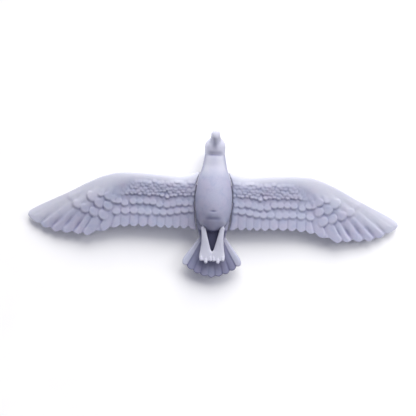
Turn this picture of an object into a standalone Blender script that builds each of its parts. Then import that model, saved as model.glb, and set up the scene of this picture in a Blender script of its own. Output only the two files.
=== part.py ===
"""Flapping seabird decoy, palm size: a cast-resin gull that lies on its back on a flat pad.

Axes: +Y runs to the beak, +Z out of the belly, +X to the bird's left wing.
Design numbers are in millimetres; MM turns them into metres where a mesh is made.
The wings swing on two hinge pins inside the body. Toothed hubs keep them in step, and a
torsion spring on each pin brings them back to the glide pose modelled here.
"""

import math

import bmesh
import bpy
import numpy as np
from mathutils import Vector

MM = 0.001

# ---------------------------------------------------------------- driving dimensions (mm)
HINGE_X = 2.6  # hinge pins, left and right of the centre plane
HINGE_Z = 4.2
PIN_D = 1.0
RUN_GAP = 0.05  # radial clearance of pins and screws
WALL = 0.85
PARTING_Z = 4.4  # back shell below, belly shell above
SHELL_GAP = 0.08

GEAR_MODULE = 0.4
GEAR_TEETH = 13
GEAR_R = GEAR_MODULE * GEAR_TEETH / 2  # equals HINGE_X, so the two sectors mesh at x = 0
GEAR_Y = (3.6, 4.9)

REAR_CHEEK_Y = (-1.2, -0.5)
REAR_KNUCKLE_Y = (-0.3, 1.5)
SPRING_Y = (1.78, 3.05)
FRONT_KNUCKLE_Y = (3.4, 5.6)
FRONT_CHEEK_Y = (5.8, 6.5)
PIN_Y = (-1.5, 6.8)
KNUCKLE_R = 1.1

TONGUE_Y = (0.6, 5.4)  # the hub's plate that carries the wing
TONGUE_X = (3.8, 9.3)
TONGUE_T = 1.0
POCKET_GAP = 0.12
WINDOW_Z = (1.8, 5.9)

SCREW_D = 0.9
NECK_Z = 5.3
SEAM_Y = 14.0
FRONT_SHELL_SCREW_Y = 10.6
REAR_SHELL_SCREW_Y = -4.9
FRONT_FOOT_Y = (6.5, 8.6)
REAR_FOOT_Y = (-3.3, -1.2)
FOOT_Z = (2.2, 2.8)
BRIDGE_Z = (7.45, 8.0)
WING_SCREW = (7.5, 3.0)
TAIL_SCREW_Y = -11.0
TAIL_SLOT_Z = (2.5, 3.7)
TAIL_SLOT_Y = -8.7

# ---------------------------------------------------------------- profiles along the body
# Each pair is (y, value): half width of the trunk, its belly line and its back line.
TRUNK_HALF = [(-7.9, 0.25), (-7.6, 0.95), (-7.2, 1.7), (-6.8, 2.4), (-6.1, 3.35), (-4.7, 4.3),
              (-3.5, 4.75), (-1.0, 5.2), (2.0, 5.35), (4.0, 5.15), (6.6, 4.7), (9.0, 3.9),
              (11.0, 3.35), (13.9, 2.88)]
TRUNK_TOP = [(-7.9, 6.2), (-7.6, 6.8), (-7.0, 7.6), (-6.0, 8.7), (-4.0, 10.0), (-2.0, 10.6),
             (0.5, 10.8), (4.0, 10.5), (7.0, 9.8), (9.0, 9.1), (11.0, 8.45), (13.9, 8.0)]
TRUNK_BOTTOM = [(-7.9, 0.7), (-6.0, 0.1), (-4.0, -0.3), (5.0, -0.3), (9.0, 0.6), (11.0, 1.2),
                (13.9, 2.2)]
TRUNK_WIDEST = [(-7.9, 4.4), (8.0, 4.4), (13.9, 5.2)]

RUMP_HALF = [(-13.5, 2.9), (-12.0, 3.2), (-10.0, 3.45), (-8.0, 3.95), (-6.9, 4.35), (-4.7, 4.8),
             (-3.0, 4.95), (-1.0, 4.75)]
RUMP_TOP = [(-13.5, 4.2), (-11.0, 5.0), (-9.0, 5.5), (-7.0, 5.9), (-4.0, 6.2), (-1.0, 6.3)]
RUMP_BOTTOM = [(-13.5, 2.1), (-11.0, 1.2), (-9.0, 0.6), (-7.0, 0.35), (-4.0, 0.2), (-1.0, 0.5)]

HEAD_HALF = [(14.1, 2.85), (15.3, 2.95), (16.5, 2.85), (17.5, 2.6), (18.2, 2.2), (18.8, 1.6),
             (19.2, 0.8)]
HEAD_TOP = [(14.1, 8.35), (15.5, 8.3), (17.0, 7.8), (18.2, 7.1), (19.2, 5.9)]
HEAD_BOTTOM = [(14.1, 2.25), (15.5, 1.9), (17.0, 2.1), (18.2, 2.9), (19.2, 4.5)]

# ---------------------------------------------------------------- profiles along the wing span
LEADING_EDGE = [(4.0, 9.15), (6.5, 8.4), (9.5, 7.87), (15.0, 8.2), (23.0, 8.6), (27.0, 8.4), (30.5, 7.5),
                (35.0, 5.6), (41.0, 2.4), (46.0, 0.0), (50.0, -1.95), (52.0, -3.2), (52.9, -4.0)]
WING_LEVEL = [(4.0, 4.3), (9.5, 4.3), (24.0, 3.9), (38.0, 2.9), (52.9, 1.4)]
WING_THICKNESS = [(4.0, 2.4), (6.5, 2.6), (10.0, 2.5), (24.0, 1.8), (35.0, 1.25), (45.0, 0.85),
                  (52.9, 0.6)]
EDGE_THICKNESS = [(4.0, 0.95), (24.0, 0.75), (52.9, 0.45)]
# Feather tips along the trailing edge: (x of the tip, y of the tip), secondaries then primaries.
FEATHER_TIPS = [(5.7, -7.2), (8.2, -7.1), (10.4, -7.1), (12.5, -7.1), (14.8, -7.1), (17.2, -6.9),
                (19.9, -6.9), (22.4, -6.9), (25.0, -7.1), (27.6, -7.4), (30.6, -8.4), (35.6, -9.95),
                (38.3, -9.55), (41.7, -9.35), (44.8, -9.15), (48.1, -8.0), (51.1, -6.3)]
NOTCH_DEPTH = 0.55
WING_CAMBER = 0.5
WING_TIP_X = 52.9
ROOT_ROUNDING = (0.75, 0.93, 1.0)  # thickness share of the first sections, which rounds the root
SHOULDER_RELIEF = (0.4, 0.33, 0.15)  # off the underside in front of the tongue, clear of the shell
# Shoulder clearance along y.
ROOT_GAP = [(-8.0, 0.65), (-2.0, 0.6), (2.0, 0.45), (5.0, 0.45), (8.0, 0.3), (9.5, 0.3)]

# ---------------------------------------------------------------- tail and legs
TAIL_PIVOT_Y = -4.4
TAIL_FEATHERS = 9
# Tip radius by angle (degrees) from the centre line.
TAIL_TIP_R = [(0.0, 16.5), (16.0, 15.9), (24.0, 15.5), (31.0, 15.2), (36.5, 14.9)]
TAIL_HALF_ANGLE = 36.5

LEG_OUTER = [(-16.0, 3.45), (-15.0, 3.65), (-12.6, 3.3), (-10.0, 3.1), (-8.0, 3.2), (-6.6, 3.35)]
LEG_INNER = [(-16.0, -0.5), (-14.0, -0.5), (-13.4, 0.0), (-12.9, 0.4), (-11.5, 0.8), (-10.0, 1.2),
             (-8.5, 1.6), (-6.6, 2.0)]
LEG_LEVEL = [(-16.0, 5.2), (-13.0, 5.5), (-9.0, 6.25), (-6.6, 6.6)]
LEG_HALF_T = [(-16.0, 0.42), (-13.0, 0.5), (-9.0, 0.62), (-6.6, 0.62)]
TOES = [(3.05, -16.1), (1.7, -16.8), (0.45, -16.2)]
PEG_R = 0.5

RESIN = (0.62, 0.62, 0.73, 1.0)
STEEL = (0.62, 0.63, 0.65, 1.0)
NYLON = (0.13, 0.13, 0.15, 1.0)


# ---------------------------------------------------------------- small helpers
def profile(points, at):
    """Smooth curve through (place, value) pairs, with slopes limited so it never overshoots."""
    x, y = np.array(points, dtype=float).T
    step = np.diff(x)
    slope = np.diff(y) / step
    tangent = np.zeros(len(x))
    rising = slope[:-1] * slope[1:] > 0
    joined = 2 * slope[:-1] * slope[1:] / np.where(rising, slope[:-1] + slope[1:], 1.0)
    tangent[1:-1] = np.where(rising, joined, 0.0)
    tangent[0], tangent[-1] = slope[0], slope[-1]
    at = np.clip(np.asarray(at, dtype=float), x[0], x[-1])
    i = np.clip(np.searchsorted(x, at) - 1, 0, len(x) - 2)
    t = (at - x[i]) / step[i]
    value = (2 * t**3 - 3 * t**2 + 1) * y[i] + (t**3 - 2 * t**2 + t) * step[i] * tangent[i]
    return value + (3 * t**2 - 2 * t**3) * y[i + 1] + (t**3 - t**2) * step[i] * tangent[i + 1]


def material(name, colour, roughness, metallic):
    made = bpy.data.materials.new(name)
    made.use_nodes = True
    shader = made.node_tree.nodes["Principled BSDF"]
    shader.inputs["Base Color"].default_value = colour
    shader.inputs["Roughness"].default_value = roughness
    shader.inputs["Metallic"].default_value = metallic
    made.diffuse_color = colour
    return made


def collection(name, hidden=False):
    made = bpy.data.collections.new(name)
    made.hide_render = hidden
    bpy.context.scene.collection.children.link(made)
    return made


def add_object(name, mesh, home, paint=None):
    made = bpy.data.objects.new(name, mesh)
    home.objects.link(made)
    if paint:
        mesh.materials.append(material(name, *paint))
    return made


def cutter(made):
    """Mark an object as a helper: kept out of the render, drawn as wires."""
    made.hide_render = True
    made.display_type = "WIRE"
    return made


def mesh_from(name, points, faces):
    mesh = bpy.data.meshes.new(name)
    mesh.from_pydata([tuple(c * MM for c in p) for p in points], [], faces)
    bm = bmesh.new()
    bm.from_mesh(mesh)
    bmesh.ops.recalc_face_normals(bm, faces=bm.faces)
    bm.to_mesh(mesh)
    bm.free()
    return mesh


def loft(name, rings, strip_caps=False):
    """Closed skin through rings of equal length; strip_caps closes curved ends with a strip of quads."""
    count = len(rings[0])
    points = [p for ring in rings for p in ring]
    last = len(points) - count
    faces = [list(range(count)), list(range(last, last + count))]
    if strip_caps:
        strip = [[0, 1, count - 1]] + [[i, i + 1, count - 1 - i, count - i] for i in range(1, count // 2)]
        faces = strip + [[last + v for v in face] for face in strip]
    for a in range(len(rings) - 1):
        for b in range(count):
            c = (b + 1) % count
            faces.append([a * count + b, a * count + c, (a + 1) * count + c, (a + 1) * count + b])
    return mesh_from(name, points, faces)


def box(name, low, high):
    """Box between two corners, from Blender's cube."""
    mesh = bpy.data.meshes.new(name)
    bm = bmesh.new()
    bmesh.ops.create_cube(bm, size=1.0)
    low, high = Vector(low) * MM, Vector(high) * MM
    for v in bm.verts:
        v.co = Vector(a + (b - a) * (c + 0.5) for a, b, c in zip(low, high, v.co))
    bm.to_mesh(mesh)
    bm.free()
    return mesh


def rod(name, start, end, radius, end_radius=None, sides=24):
    """Cylinder or cone between two points, from Blender's cone."""
    start, end = Vector(start) * MM, Vector(end) * MM
    along = end - start
    mesh = bpy.data.meshes.new(name)
    bm = bmesh.new()
    top = radius if end_radius is None else end_radius
    bmesh.ops.create_cone(bm, cap_ends=True, segments=sides, radius1=radius * MM, radius2=top * MM,
                          depth=along.length)
    turn = Vector((0, 0, 1)).rotation_difference(along).to_matrix().to_4x4()
    turn.translation = (start + end) / 2
    bmesh.ops.transform(bm, matrix=turn, verts=bm.verts)
    bm.to_mesh(mesh)
    bm.free()
    return mesh


def boolean(target, other, operation):
    step = target.modifiers.new(f"{operation.lower()} {other.name}", "BOOLEAN")
    step.operation = operation
    step.solver = "EXACT"
    step.object = other


def set_origin(made, place):
    """Put an object's origin at a place (mm) and leave its mesh where it is."""
    place = Vector(place) * MM
    for v in made.data.vertices:
        v.co -= place
    made.location = place


def round_section(y, half, top, bottom, widest, power=2.0, steps=32):
    """One ring of the body: an oval that is flatter on the back, with a flat pad at z = 0."""
    ring = []
    for k in range(steps):
        angle = 2 * math.pi * k / steps
        c, s = math.cos(angle), math.sin(angle)
        n = 2.0 if s > 0 else power
        x = half * math.copysign(abs(c) ** (2 / n), c)
        reach = (top - widest) if s > 0 else (widest - bottom)
        z = widest + reach * math.copysign(abs(s) ** (2 / n), s)
        ring.append((x, y, max(z, 0.0)))
    return ring


BACK_POWER = 2.3  # above 2 the back is squarer than an ellipse


# ---------------------------------------------------------------- body solids the shells are cut from
def trunk_rings(inset, rear, front, count=34):
    """Rings of the trunk, shrunk by inset (mm) on every side."""
    rings = []
    for y in np.linspace(rear, front, count):
        widest = float(profile(TRUNK_WIDEST, y))
        half = max(float(profile(TRUNK_HALF, y)) - inset, 0.15)
        top = max(float(profile(TRUNK_TOP, y)) - inset, widest + 0.3)
        floor = max(float(profile(TRUNK_BOTTOM, y)), 0.0) if inset > 0 else float(profile(TRUNK_BOTTOM, y))
        bottom = min(floor + inset, widest - 0.3)
        rings.append(round_section(y, half, top, bottom, widest, BACK_POWER))
    return rings


def rump_mesh():
    rings = []
    for y in np.linspace(-13.5, -1.0, 22):
        top, bottom = float(profile(RUMP_TOP, y)), float(profile(RUMP_BOTTOM, y))
        half = float(profile(RUMP_HALF, y))
        rings.append(round_section(y, half, top, bottom, 0.5 * (top + bottom), BACK_POWER))
    return loft("rump", rings)


def trunk_half_width(y):
    """Outer half width of trunk and rump together."""
    trunk = profile(TRUNK_HALF, y)
    rump = np.where(np.asarray(y) < -1.0, profile(RUMP_HALF, y), 0.0)
    return np.maximum(trunk, rump)


def window_mesh(side):
    x = sorted((side * 3.4, side * 6.2))
    return box("window", (x[0], TONGUE_Y[0] - 0.25, WINDOW_Z[0]), (x[1], TONGUE_Y[1] + 0.25, WINDOW_Z[1]))


def shell_screw_places():
    """Both shell screws: (y, z under the head, z of the tip)."""
    return {"front": (FRONT_SHELL_SCREW_Y, 1.85, 6.3), "rear": (REAR_SHELL_SCREW_Y, 0.85, 6.3)}


def leg_rings(grow, rear, front, side, count):
    """Rings of one leg with its half of the webbed foot, grown by grow (mm)."""
    rings = []
    for y in np.linspace(rear, front, count):
        outer, inner = float(profile(LEG_OUTER, y)) + grow, float(profile(LEG_INNER, y)) - grow
        level, half_t = float(profile(LEG_LEVEL, y)), float(profile(LEG_HALF_T, y)) + grow
        ring = []
        for k in range(16):
            angle = 2 * math.pi * k / 16
            x = 0.5 * (outer + inner) + 0.5 * (outer - inner) * math.cos(angle)
            ring.append((side * x, y, level + half_t * math.sin(angle)))
        rings.append(ring)
    return rings


def leg_peg(grow, side):
    level = float(profile(LEG_LEVEL, -6.6))
    return rod("peg", (side * 2.65, -6.9, level), (side * 2.65, -5.3 + grow, level), PEG_R + grow, sides=16)


def make_shells(parts, helpers):
    """Back shell with the rump, and belly shell; both hollow, with bosses, windows and sockets."""
    trunk = loft("trunk", trunk_rings(0.0, -7.9, 13.9))
    back = add_object("back_shell", trunk, parts, (RESIN, 0.5, 0.0))
    belly = add_object("belly_shell", trunk.copy(), parts)
    belly.data.materials.clear()
    belly.data.materials.append(material("belly_shell", RESIN, 0.5, 0.0))

    def helper(name, mesh):
        return cutter(add_object(name, mesh, helpers))

    inner = helper("cavity", loft("cavity", trunk_rings(WALL, -6.5, 13.9 - WALL)))
    grown = helper("belly_clearance", loft("belly_clearance", trunk_rings(-0.1, -7.9, 13.0)))
    below = helper("below_parting", box("below_parting", (-9, -9, -3), (9, 16, PARTING_Z + SHELL_GAP)))
    above = helper("above_parting", box("above_parting", (-9, -9, PARTING_Z), (9, 16, 14)))
    rump = helper("rump_block", rump_mesh())
    boolean(grown, below, "DIFFERENCE")
    boolean(rump, grown, "DIFFERENCE")
    boolean(back, above, "DIFFERENCE")
    boolean(back, rump, "UNION")
    for made in (back, belly):
        if made is belly:
            boolean(made, below, "DIFFERENCE")
        boolean(made, inner, "DIFFERENCE")
    add_bosses(back, belly, helper)
    for side in (1, -1):
        window = helper("window", window_mesh(side))
        leg = helper("leg_clearance", loft("leg_clearance", leg_rings(0.1, -15.9, -6.3, side, 14)))
        peg = helper("peg_socket", leg_peg(0.1, side))
        for made in (back, belly):
            boolean(made, window, "DIFFERENCE")
            boolean(made, leg, "DIFFERENCE")
        boolean(belly, peg, "DIFFERENCE")
    neck_bore = rod("neck_bore", (0, 12.5, NECK_Z), (0, 14.5, NECK_Z), SCREW_D / 2 + 0.1)
    boolean(belly, helper("neck_bore", neck_bore), "DIFFERENCE")
    low, high = (-9, -16, TAIL_SLOT_Z[0]), (9, TAIL_SLOT_Y, TAIL_SLOT_Z[1])
    boolean(back, helper("tail_slot", box("tail_slot", low, high)), "DIFFERENCE")
    tail_hole = rod("tail_hole", (0, TAIL_SCREW_Y, 1.5), (0, TAIL_SCREW_Y, 4.65), SCREW_D / 2 + RUN_GAP)
    tail_sink = rod("tail_sink", (0, TAIL_SCREW_Y, -1), (0, TAIL_SCREW_Y, 1.9), 0.95)
    boolean(back, helper("tail_hole", tail_hole), "DIFFERENCE")
    boolean(back, helper("tail_sink", tail_sink), "DIFFERENCE")
    return back, belly


HEAD_GAP = 0.06  # play under the heads and past the tips of the screws
FRAME_SCREW_LENGTH = 1.7
BOSS_R = {"back": 1.25, "belly": 1.15, "frame": 0.95}
SCREW_SINK_R = 0.97


def wall_floor(y, radius):
    """Height inside the back shell's wall that a round boss at y can start from."""
    reach = y + np.linspace(-radius, radius, 11)
    return max(float(profile(TRUNK_BOTTOM, reach).max()), 0.0) + 0.5 * WALL


def wall_roof(y, radius):
    """Height inside the belly shell's wall where a round boss at y has to end."""
    reach = y + np.linspace(-radius, radius, 11)
    return float(profile(TRUNK_TOP, reach).min()) - 0.5 * WALL


def add_bosses(back, belly, helper):
    """Screw bosses for the two shell screws and the two frame screws."""
    bore_r = SCREW_D / 2 + RUN_GAP
    for name, (y, seat, tip) in shell_screw_places().items():
        floor, roof = wall_floor(y, BOSS_R["back"]), wall_roof(y, BOSS_R["belly"])
        lower = rod("boss", (0, y, floor), (0, y, PARTING_Z - 0.05), BOSS_R["back"])
        upper = rod("boss", (0, y, PARTING_Z + SHELL_GAP), (0, y, roof), BOSS_R["belly"])
        shaft = helper(f"shell_hole_{name}", rod("hole", (0, y, seat - 0.3), (0, y, tip + 0.2), bore_r))
        sink = helper(f"shell_sink_{name}", rod("sink", (0, y, -1), (0, y, seat), SCREW_SINK_R))
        boolean(back, helper(f"back_boss_{name}", lower), "UNION")
        boolean(belly, helper(f"belly_boss_{name}", upper), "UNION")
        boolean(back, shaft, "DIFFERENCE")
        boolean(belly, shaft, "DIFFERENCE")
        boolean(back, sink, "DIFFERENCE")
    for name, (near, far) in {"front": FRONT_FOOT_Y, "rear": REAR_FOOT_Y}.items():
        y = 0.5 * (near + far)
        floor = wall_floor(y, BOSS_R["frame"])
        screw_tip = FOOT_Z[1] + HEAD_GAP - FRAME_SCREW_LENGTH
        post = rod("post", (0, y, floor), (0, y, FOOT_Z[0] - HEAD_GAP), BOSS_R["frame"])
        hole = rod("hole", (0, y, screw_tip - HEAD_GAP), (0, y, 3), bore_r)
        boolean(back, helper(f"frame_post_{name}", post), "UNION")
        boolean(back, helper(f"frame_hole_{name}", hole), "DIFFERENCE")


# ---------------------------------------------------------------- hinge mechanism
def make_frame(parts, helpers):
    """Hat-shaped bracket: two cheeks that hold the pins, a bridge over the gears, two screw feet."""
    def cheek(span):
        outline = [(-3.4, 3.3), (-2.4, 2.9), (-1.6, FOOT_Z[0]), (1.6, FOOT_Z[0]), (2.4, 2.9), (3.4, 3.3),
                   (3.4, 5.1), (1.8, BRIDGE_Z[1]), (-1.8, BRIDGE_Z[1]), (-3.4, 5.1)]
        return loft("cheek", [[(x, y, z) for x, z in outline] for y in span])

    frame = add_object("hinge_frame", cheek(REAR_CHEEK_Y), parts, (STEEL, 0.4, 0.9))
    bridge_y = (REAR_CHEEK_Y[0] + 0.1, FRONT_CHEEK_Y[1] - 0.1)
    pieces = [cheek(FRONT_CHEEK_Y),
              box("bridge", (-1.7, bridge_y[0], BRIDGE_Z[0]), (1.7, bridge_y[1], BRIDGE_Z[1] - 0.02)),
              box("front_foot", (-1.5, FRONT_FOOT_Y[0] - 0.4, FOOT_Z[0]), (1.5, FRONT_FOOT_Y[1], FOOT_Z[1])),
              box("rear_foot", (-1.5, REAR_FOOT_Y[0], FOOT_Z[0]), (1.5, REAR_FOOT_Y[1] + 0.4, FOOT_Z[1]))]
    for mesh in pieces:
        boolean(frame, cutter(add_object(f"frame_{mesh.name}", mesh, helpers)), "UNION")
    pin_r, screw_r = PIN_D / 2 + RUN_GAP, SCREW_D / 2 + RUN_GAP
    holes = [rod("pin_hole", (side * HINGE_X, -3, HINGE_Z), (side * HINGE_X, 9, HINGE_Z), pin_r)
             for side in (1, -1)]
    holes += [rod("foot_hole", (0, sum(foot) / 2, 1), (0, sum(foot) / 2, 4), screw_r)
              for foot in (FRONT_FOOT_Y, REAR_FOOT_Y)]
    for mesh in holes:
        boolean(frame, cutter(add_object(f"frame_{mesh.name}", mesh, helpers)), "DIFFERENCE")
    return frame


PRESSURE_ANGLE = math.radians(25)
TOOTH_BACKLASH = 0.12
WEB_ANGLE = 0.16  # how far the sector's web reaches past its outer teeth
WEB_R = 0.8


def gear_outline(first_tooth, teeth):
    """Toothed sector around its hub axis, as (x, z), with involute flanks."""
    base_r = GEAR_R * math.cos(PRESSURE_ANGLE)
    root_r = GEAR_R - 1.2 * GEAR_MODULE
    tip_r = GEAR_R + 0.9 * GEAR_MODULE
    thickness = 0.5 * math.pi * GEAR_MODULE - TOOTH_BACKLASH

    def involute(angle):
        return math.tan(angle) - angle

    half_tooth = thickness / 2 / GEAR_R + involute(PRESSURE_ANGLE)
    flank = [(half_tooth - involute(math.acos(min(1.0, base_r / r))), r)
             for r in np.linspace(base_r, tip_r, 5)]
    outline = [(first_tooth - WEB_ANGLE, WEB_R), (first_tooth - WEB_ANGLE, root_r)]
    for k in range(teeth):
        centre = first_tooth + k * 2 * math.pi / GEAR_TEETH
        outline.append((centre - flank[0][0], root_r))
        outline += [(centre - a, r) for a, r in flank]
        outline += [(centre + a, r) for a, r in reversed(flank)]
        outline.append((centre + flank[0][0], root_r))
    last = first_tooth + (teeth - 1) * 2 * math.pi / GEAR_TEETH
    outline += [(last + WEB_ANGLE, root_r), (last + WEB_ANGLE, WEB_R)]
    return [(r * math.cos(a), r * math.sin(a)) for a, r in outline]


def make_hub(name, side, parts, helpers):
    """Hinge hub: two knuckles on the pin, a toothed sector, and the tongue that carries the wing."""
    x0 = side * HINGE_X
    inward = math.pi if side > 0 else 0.0
    pitch = 2 * math.pi / GEAR_TEETH
    teeth = 4 if side > 0 else 5
    # An even count puts a gap, an odd count a tooth, on the line between the two hubs.
    ring = gear_outline(inward - (teeth - 1) / 2 * pitch, teeth)
    near, far = REAR_KNUCKLE_Y
    hub = add_object(name, rod("knuckle", (x0, near, HINGE_Z), (x0, far, HINGE_Z), KNUCKLE_R), parts,
                     (NYLON, 0.45, 0.0))
    arm_x = sorted((side * (HINGE_X + 0.4), side * (TONGUE_X[0] + 0.2)))
    tongue_x = sorted(side * x for x in TONGUE_X)
    low, high = HINGE_Z - TONGUE_T / 2, HINGE_Z + TONGUE_T / 2
    step = 0.01  # the tongue is this much thinner than its arms on each face
    near, far = FRONT_KNUCKLE_Y
    solids = [
        rod("front_knuckle", (x0, near, HINGE_Z), (x0, far, HINGE_Z), KNUCKLE_R),
        loft("sector", [[(x0 + x, y, HINGE_Z + z) for x, z in ring] for y in GEAR_Y]),
        box("rear_arm", (arm_x[0], TONGUE_Y[0], low), (arm_x[1], REAR_KNUCKLE_Y[1], high)),
        box("front_arm", (arm_x[0], FRONT_KNUCKLE_Y[0], low), (arm_x[1], TONGUE_Y[1], high)),
        box("tongue", (tongue_x[0], TONGUE_Y[0], low + step), (tongue_x[1], TONGUE_Y[1], high - step)),
    ]
    for mesh in solids:
        boolean(hub, cutter(add_object(f"{name}_{mesh.name}", mesh, helpers)), "UNION")
    screw_x = side * WING_SCREW[0]
    holes = [rod("pin_bore", (x0, -3, HINGE_Z), (x0, 9, HINGE_Z), PIN_D / 2 + RUN_GAP),
             rod("screw_bore", (screw_x, WING_SCREW[1], 2), (screw_x, WING_SCREW[1], 6), 0.45)]
    for mesh in holes:
        boolean(hub, cutter(add_object(f"{name}_{mesh.name}", mesh, helpers)), "DIFFERENCE")
    return hub


def make_pin(name, side, parts):
    x = side * HINGE_X
    pin = add_object(name, rod("pin", (x, PIN_Y[0], HINGE_Z), (x, PIN_Y[1], HINGE_Z), PIN_D / 2, sides=32),
                     parts, (STEEL, 0.25, 1.0))
    bevel = pin.modifiers.new("chamfered ends", "BEVEL")
    bevel.width = 0.1 * MM
    bevel.limit_method = "ANGLE"
    bevel.angle_limit = math.radians(60)
    return pin


def make_spring(name, side, parts):
    """Torsion spring round the pin: one leg up under the bridge, one along the top of the tongue."""
    coil_r, wire_r, turns, per_turn = 0.8, 0.17, 3.25, 14
    points = [(HINGE_X - coil_r, SPRING_Y[0], BRIDGE_Z[0] - 0.3)]
    steps = int(turns * per_turn)
    for k in range(steps + 1):
        angle = math.pi + 2 * math.pi * turns * k / steps
        y = SPRING_Y[0] + (SPRING_Y[1] - SPRING_Y[0]) * k / steps
        points.append((HINGE_X + coil_r * math.cos(angle), y, HINGE_Z + coil_r * math.sin(angle)))
    points.append((HINGE_X + 1.6, SPRING_Y[1], points[-1][2]))
    curve = bpy.data.curves.new(name, "CURVE")
    curve.dimensions = "3D"
    curve.bevel_depth = wire_r * MM
    curve.bevel_resolution = 1
    curve.use_fill_caps = True
    spline = curve.splines.new("POLY")
    spline.points.add(len(points) - 1)
    for point, (x, y, z) in zip(spline.points, points):
        point.co = (side * x * MM, y * MM, z * MM, 1.0)
    curve.materials.append(material(name, STEEL, 0.3, 1.0))
    made = bpy.data.objects.new(name, curve)
    parts.objects.link(made)
    return made


def make_screw(name, seat, direction, length, parts, head_r=0.85, head_t=0.5, shank_r=SCREW_D / 2):
    """Pan-head screw: seat is the point under the head, direction runs to the tip."""
    seat, direction = Vector(seat), Vector(direction).normalized()
    side = direction.orthogonal().normalized()
    other = direction.cross(side)
    stations = [(-head_t, head_r * 0.75), (-head_t * 0.7, head_r), (0.0, head_r), (0.0, shank_r),
                (length - 0.3, shank_r), (length, shank_r * 0.4)]
    rings = []
    for along, radius in stations:
        ring = []
        for k in range(20):
            angle = 2 * math.pi * k / 20
            outward = side * math.cos(angle) + other * math.sin(angle)
            ring.append(tuple(seat + direction * along + outward * radius))
        rings.append(ring)
    return add_object(name, loft(name, rings), parts, (STEEL, 0.3, 1.0))


# ---------------------------------------------------------------- wings
def trailing_edge(x):
    """Scalloped trailing edge: one round tip per feather, notches between them."""
    x = np.asarray(x, dtype=float)
    tips = np.array(FEATHER_TIPS + [(WING_TIP_X, -4.0)])
    edges = np.concatenate([[4.0], 0.5 * (tips[1:, 0] + tips[:-1, 0]), [WING_TIP_X + 1]])
    i = np.clip(np.searchsorted(edges, x) - 1, 0, len(tips) - 1)
    base = profile([tuple(t) for t in tips], x)
    half = np.where(x < tips[i, 0], tips[i, 0] - edges[i], edges[i + 1] - tips[i, 0])
    across = np.clip(np.abs(x - tips[i, 0]) / half, 0, 1)
    return base + NOTCH_DEPTH * across**2.2


def wing_point(x, share, upper, side):
    """Point of the wing skin at span x and chord share (0 at the leading edge), as (x, y, z)."""
    front = float(profile(LEADING_EDGE, x))
    rear = min(float(trailing_edge(x)), front - 0.3)
    y = front + share * (rear - front)
    depth = front - y
    thick, thin = float(profile(WING_THICKNESS, x)), float(profile(EDGE_THICKNESS, x))
    nose = min(2.4, 0.45 * (front - rear))
    round_nose = math.sqrt(max(0.0, 1 - (1 - min(depth / nose, 1.0)) ** 2))
    fall = max(0.0, depth - nose) / max(0.3, front - rear - nose)
    t = thick * round_nose + (thin - thick) * fall
    hollow = WING_CAMBER * 4 * share * (1 - share) * min(1.0, max(0.0, x - 7.0) / 8, (WING_TIP_X - x) / 12)
    level = float(profile(WING_LEVEL, x)) - hollow
    return (side * x, y, level + (0.5 if upper else -0.5) * t)


def wing_mesh(side):
    """Wing loft: rings of chord sections, with a root that follows the trunk's outline."""
    shares = [0.0, 0.02, 0.07, 0.15, 0.27, 0.45, 0.65, 0.85, 1.0]
    stations = np.concatenate([[5.6, 5.9, 6.4], np.arange(7.2, 28.0, 0.55), np.arange(28.2, 52.6, 0.7),
                               [WING_TIP_X - 0.05]])
    rings = []
    for n, station in enumerate(stations):
        ring = []
        skins = [(share, True) for share in shares] + [(share, False) for share in reversed(shares[1:])]
        for share, upper in skins:
            x = station
            for _ in range(3):
                y = wing_point(x, share, upper, 1)[1]
                root = float(trunk_half_width(y)) + float(profile(ROOT_GAP, y))
                x = station + (root - stations[0]) * max(0.0, 1 - (station - stations[0]) / 5.0)
            px, py, pz = wing_point(x, share, upper, side)
            if n < len(ROOT_ROUNDING):
                centre = float(profile(WING_LEVEL, x))
                in_front = min(1.0, max(0.0, (y - TONGUE_Y[1] - 0.2) / 1.2))
                relief = 0.0 if upper else SHOULDER_RELIEF[n] * in_front
                pz = centre + (ROOT_ROUNDING[n] - relief) * (pz - centre)
            ring.append((px, py, pz))
        rings.append(ring)
    return loft("wing", rings, strip_caps=True)


def make_wing(name, side, parts, helpers):
    wing = add_object(name, wing_mesh(side), parts, (RESIN, 0.5, 0.0))
    gap = POCKET_GAP
    pocket_x = sorted((side * 3.0, side * (TONGUE_X[1] + gap)))
    low, high = HINGE_Z - TONGUE_T / 2 - gap, HINGE_Z + TONGUE_T / 2 + gap
    screw_x = side * WING_SCREW[0]
    cuts = [box("pocket", (pocket_x[0], TONGUE_Y[0] - gap, low), (pocket_x[1], TONGUE_Y[1] + gap, high)),
            rod("screw_hole", (screw_x, WING_SCREW[1], 1.5), (screw_x, WING_SCREW[1], 4.98), 0.45),
            rod("screw_sink", (screw_x, WING_SCREW[1], 1.5), (screw_x, WING_SCREW[1], 3.15), 0.8)]
    for mesh in cuts:
        boolean(wing, cutter(add_object(f"{name}_{mesh.name}", mesh, helpers)), "DIFFERENCE")
    return wing


# ---------------------------------------------------------------- head, tail, legs
NECK_END_SHARE = 0.93  # the head's first ring is this much smaller, which rounds the seam's edge


def make_head(parts, helpers):
    rings = []
    for n, y in enumerate(np.concatenate([[14.1, 14.3], np.linspace(14.8, 18.8, 10), [19.05, 19.2]])):
        top, bottom = float(profile(HEAD_TOP, y)), float(profile(HEAD_BOTTOM, y))
        centre = 0.5 * (top + bottom)
        share = 1.0 if n else NECK_END_SHARE
        half, rise = share * float(profile(HEAD_HALF, y)), 0.5 * share * (top - bottom)
        rings.append(round_section(y, half, centre + rise, centre - rise, centre))
    head = add_object("head", loft("head", rings), parts, (RESIN, 0.5, 0.0))
    boolean(head, cutter(add_object("beak", beak_mesh(), helpers)), "UNION")
    bore = rod("head_bore", (0, 13.5, NECK_Z), (0, 16.8, NECK_Z), SCREW_D / 2 + RUN_GAP)
    boolean(head, cutter(add_object("head_bore", bore, helpers)), "DIFFERENCE")
    set_origin(head, (0, SEAM_Y, NECK_Z))
    return head


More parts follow.
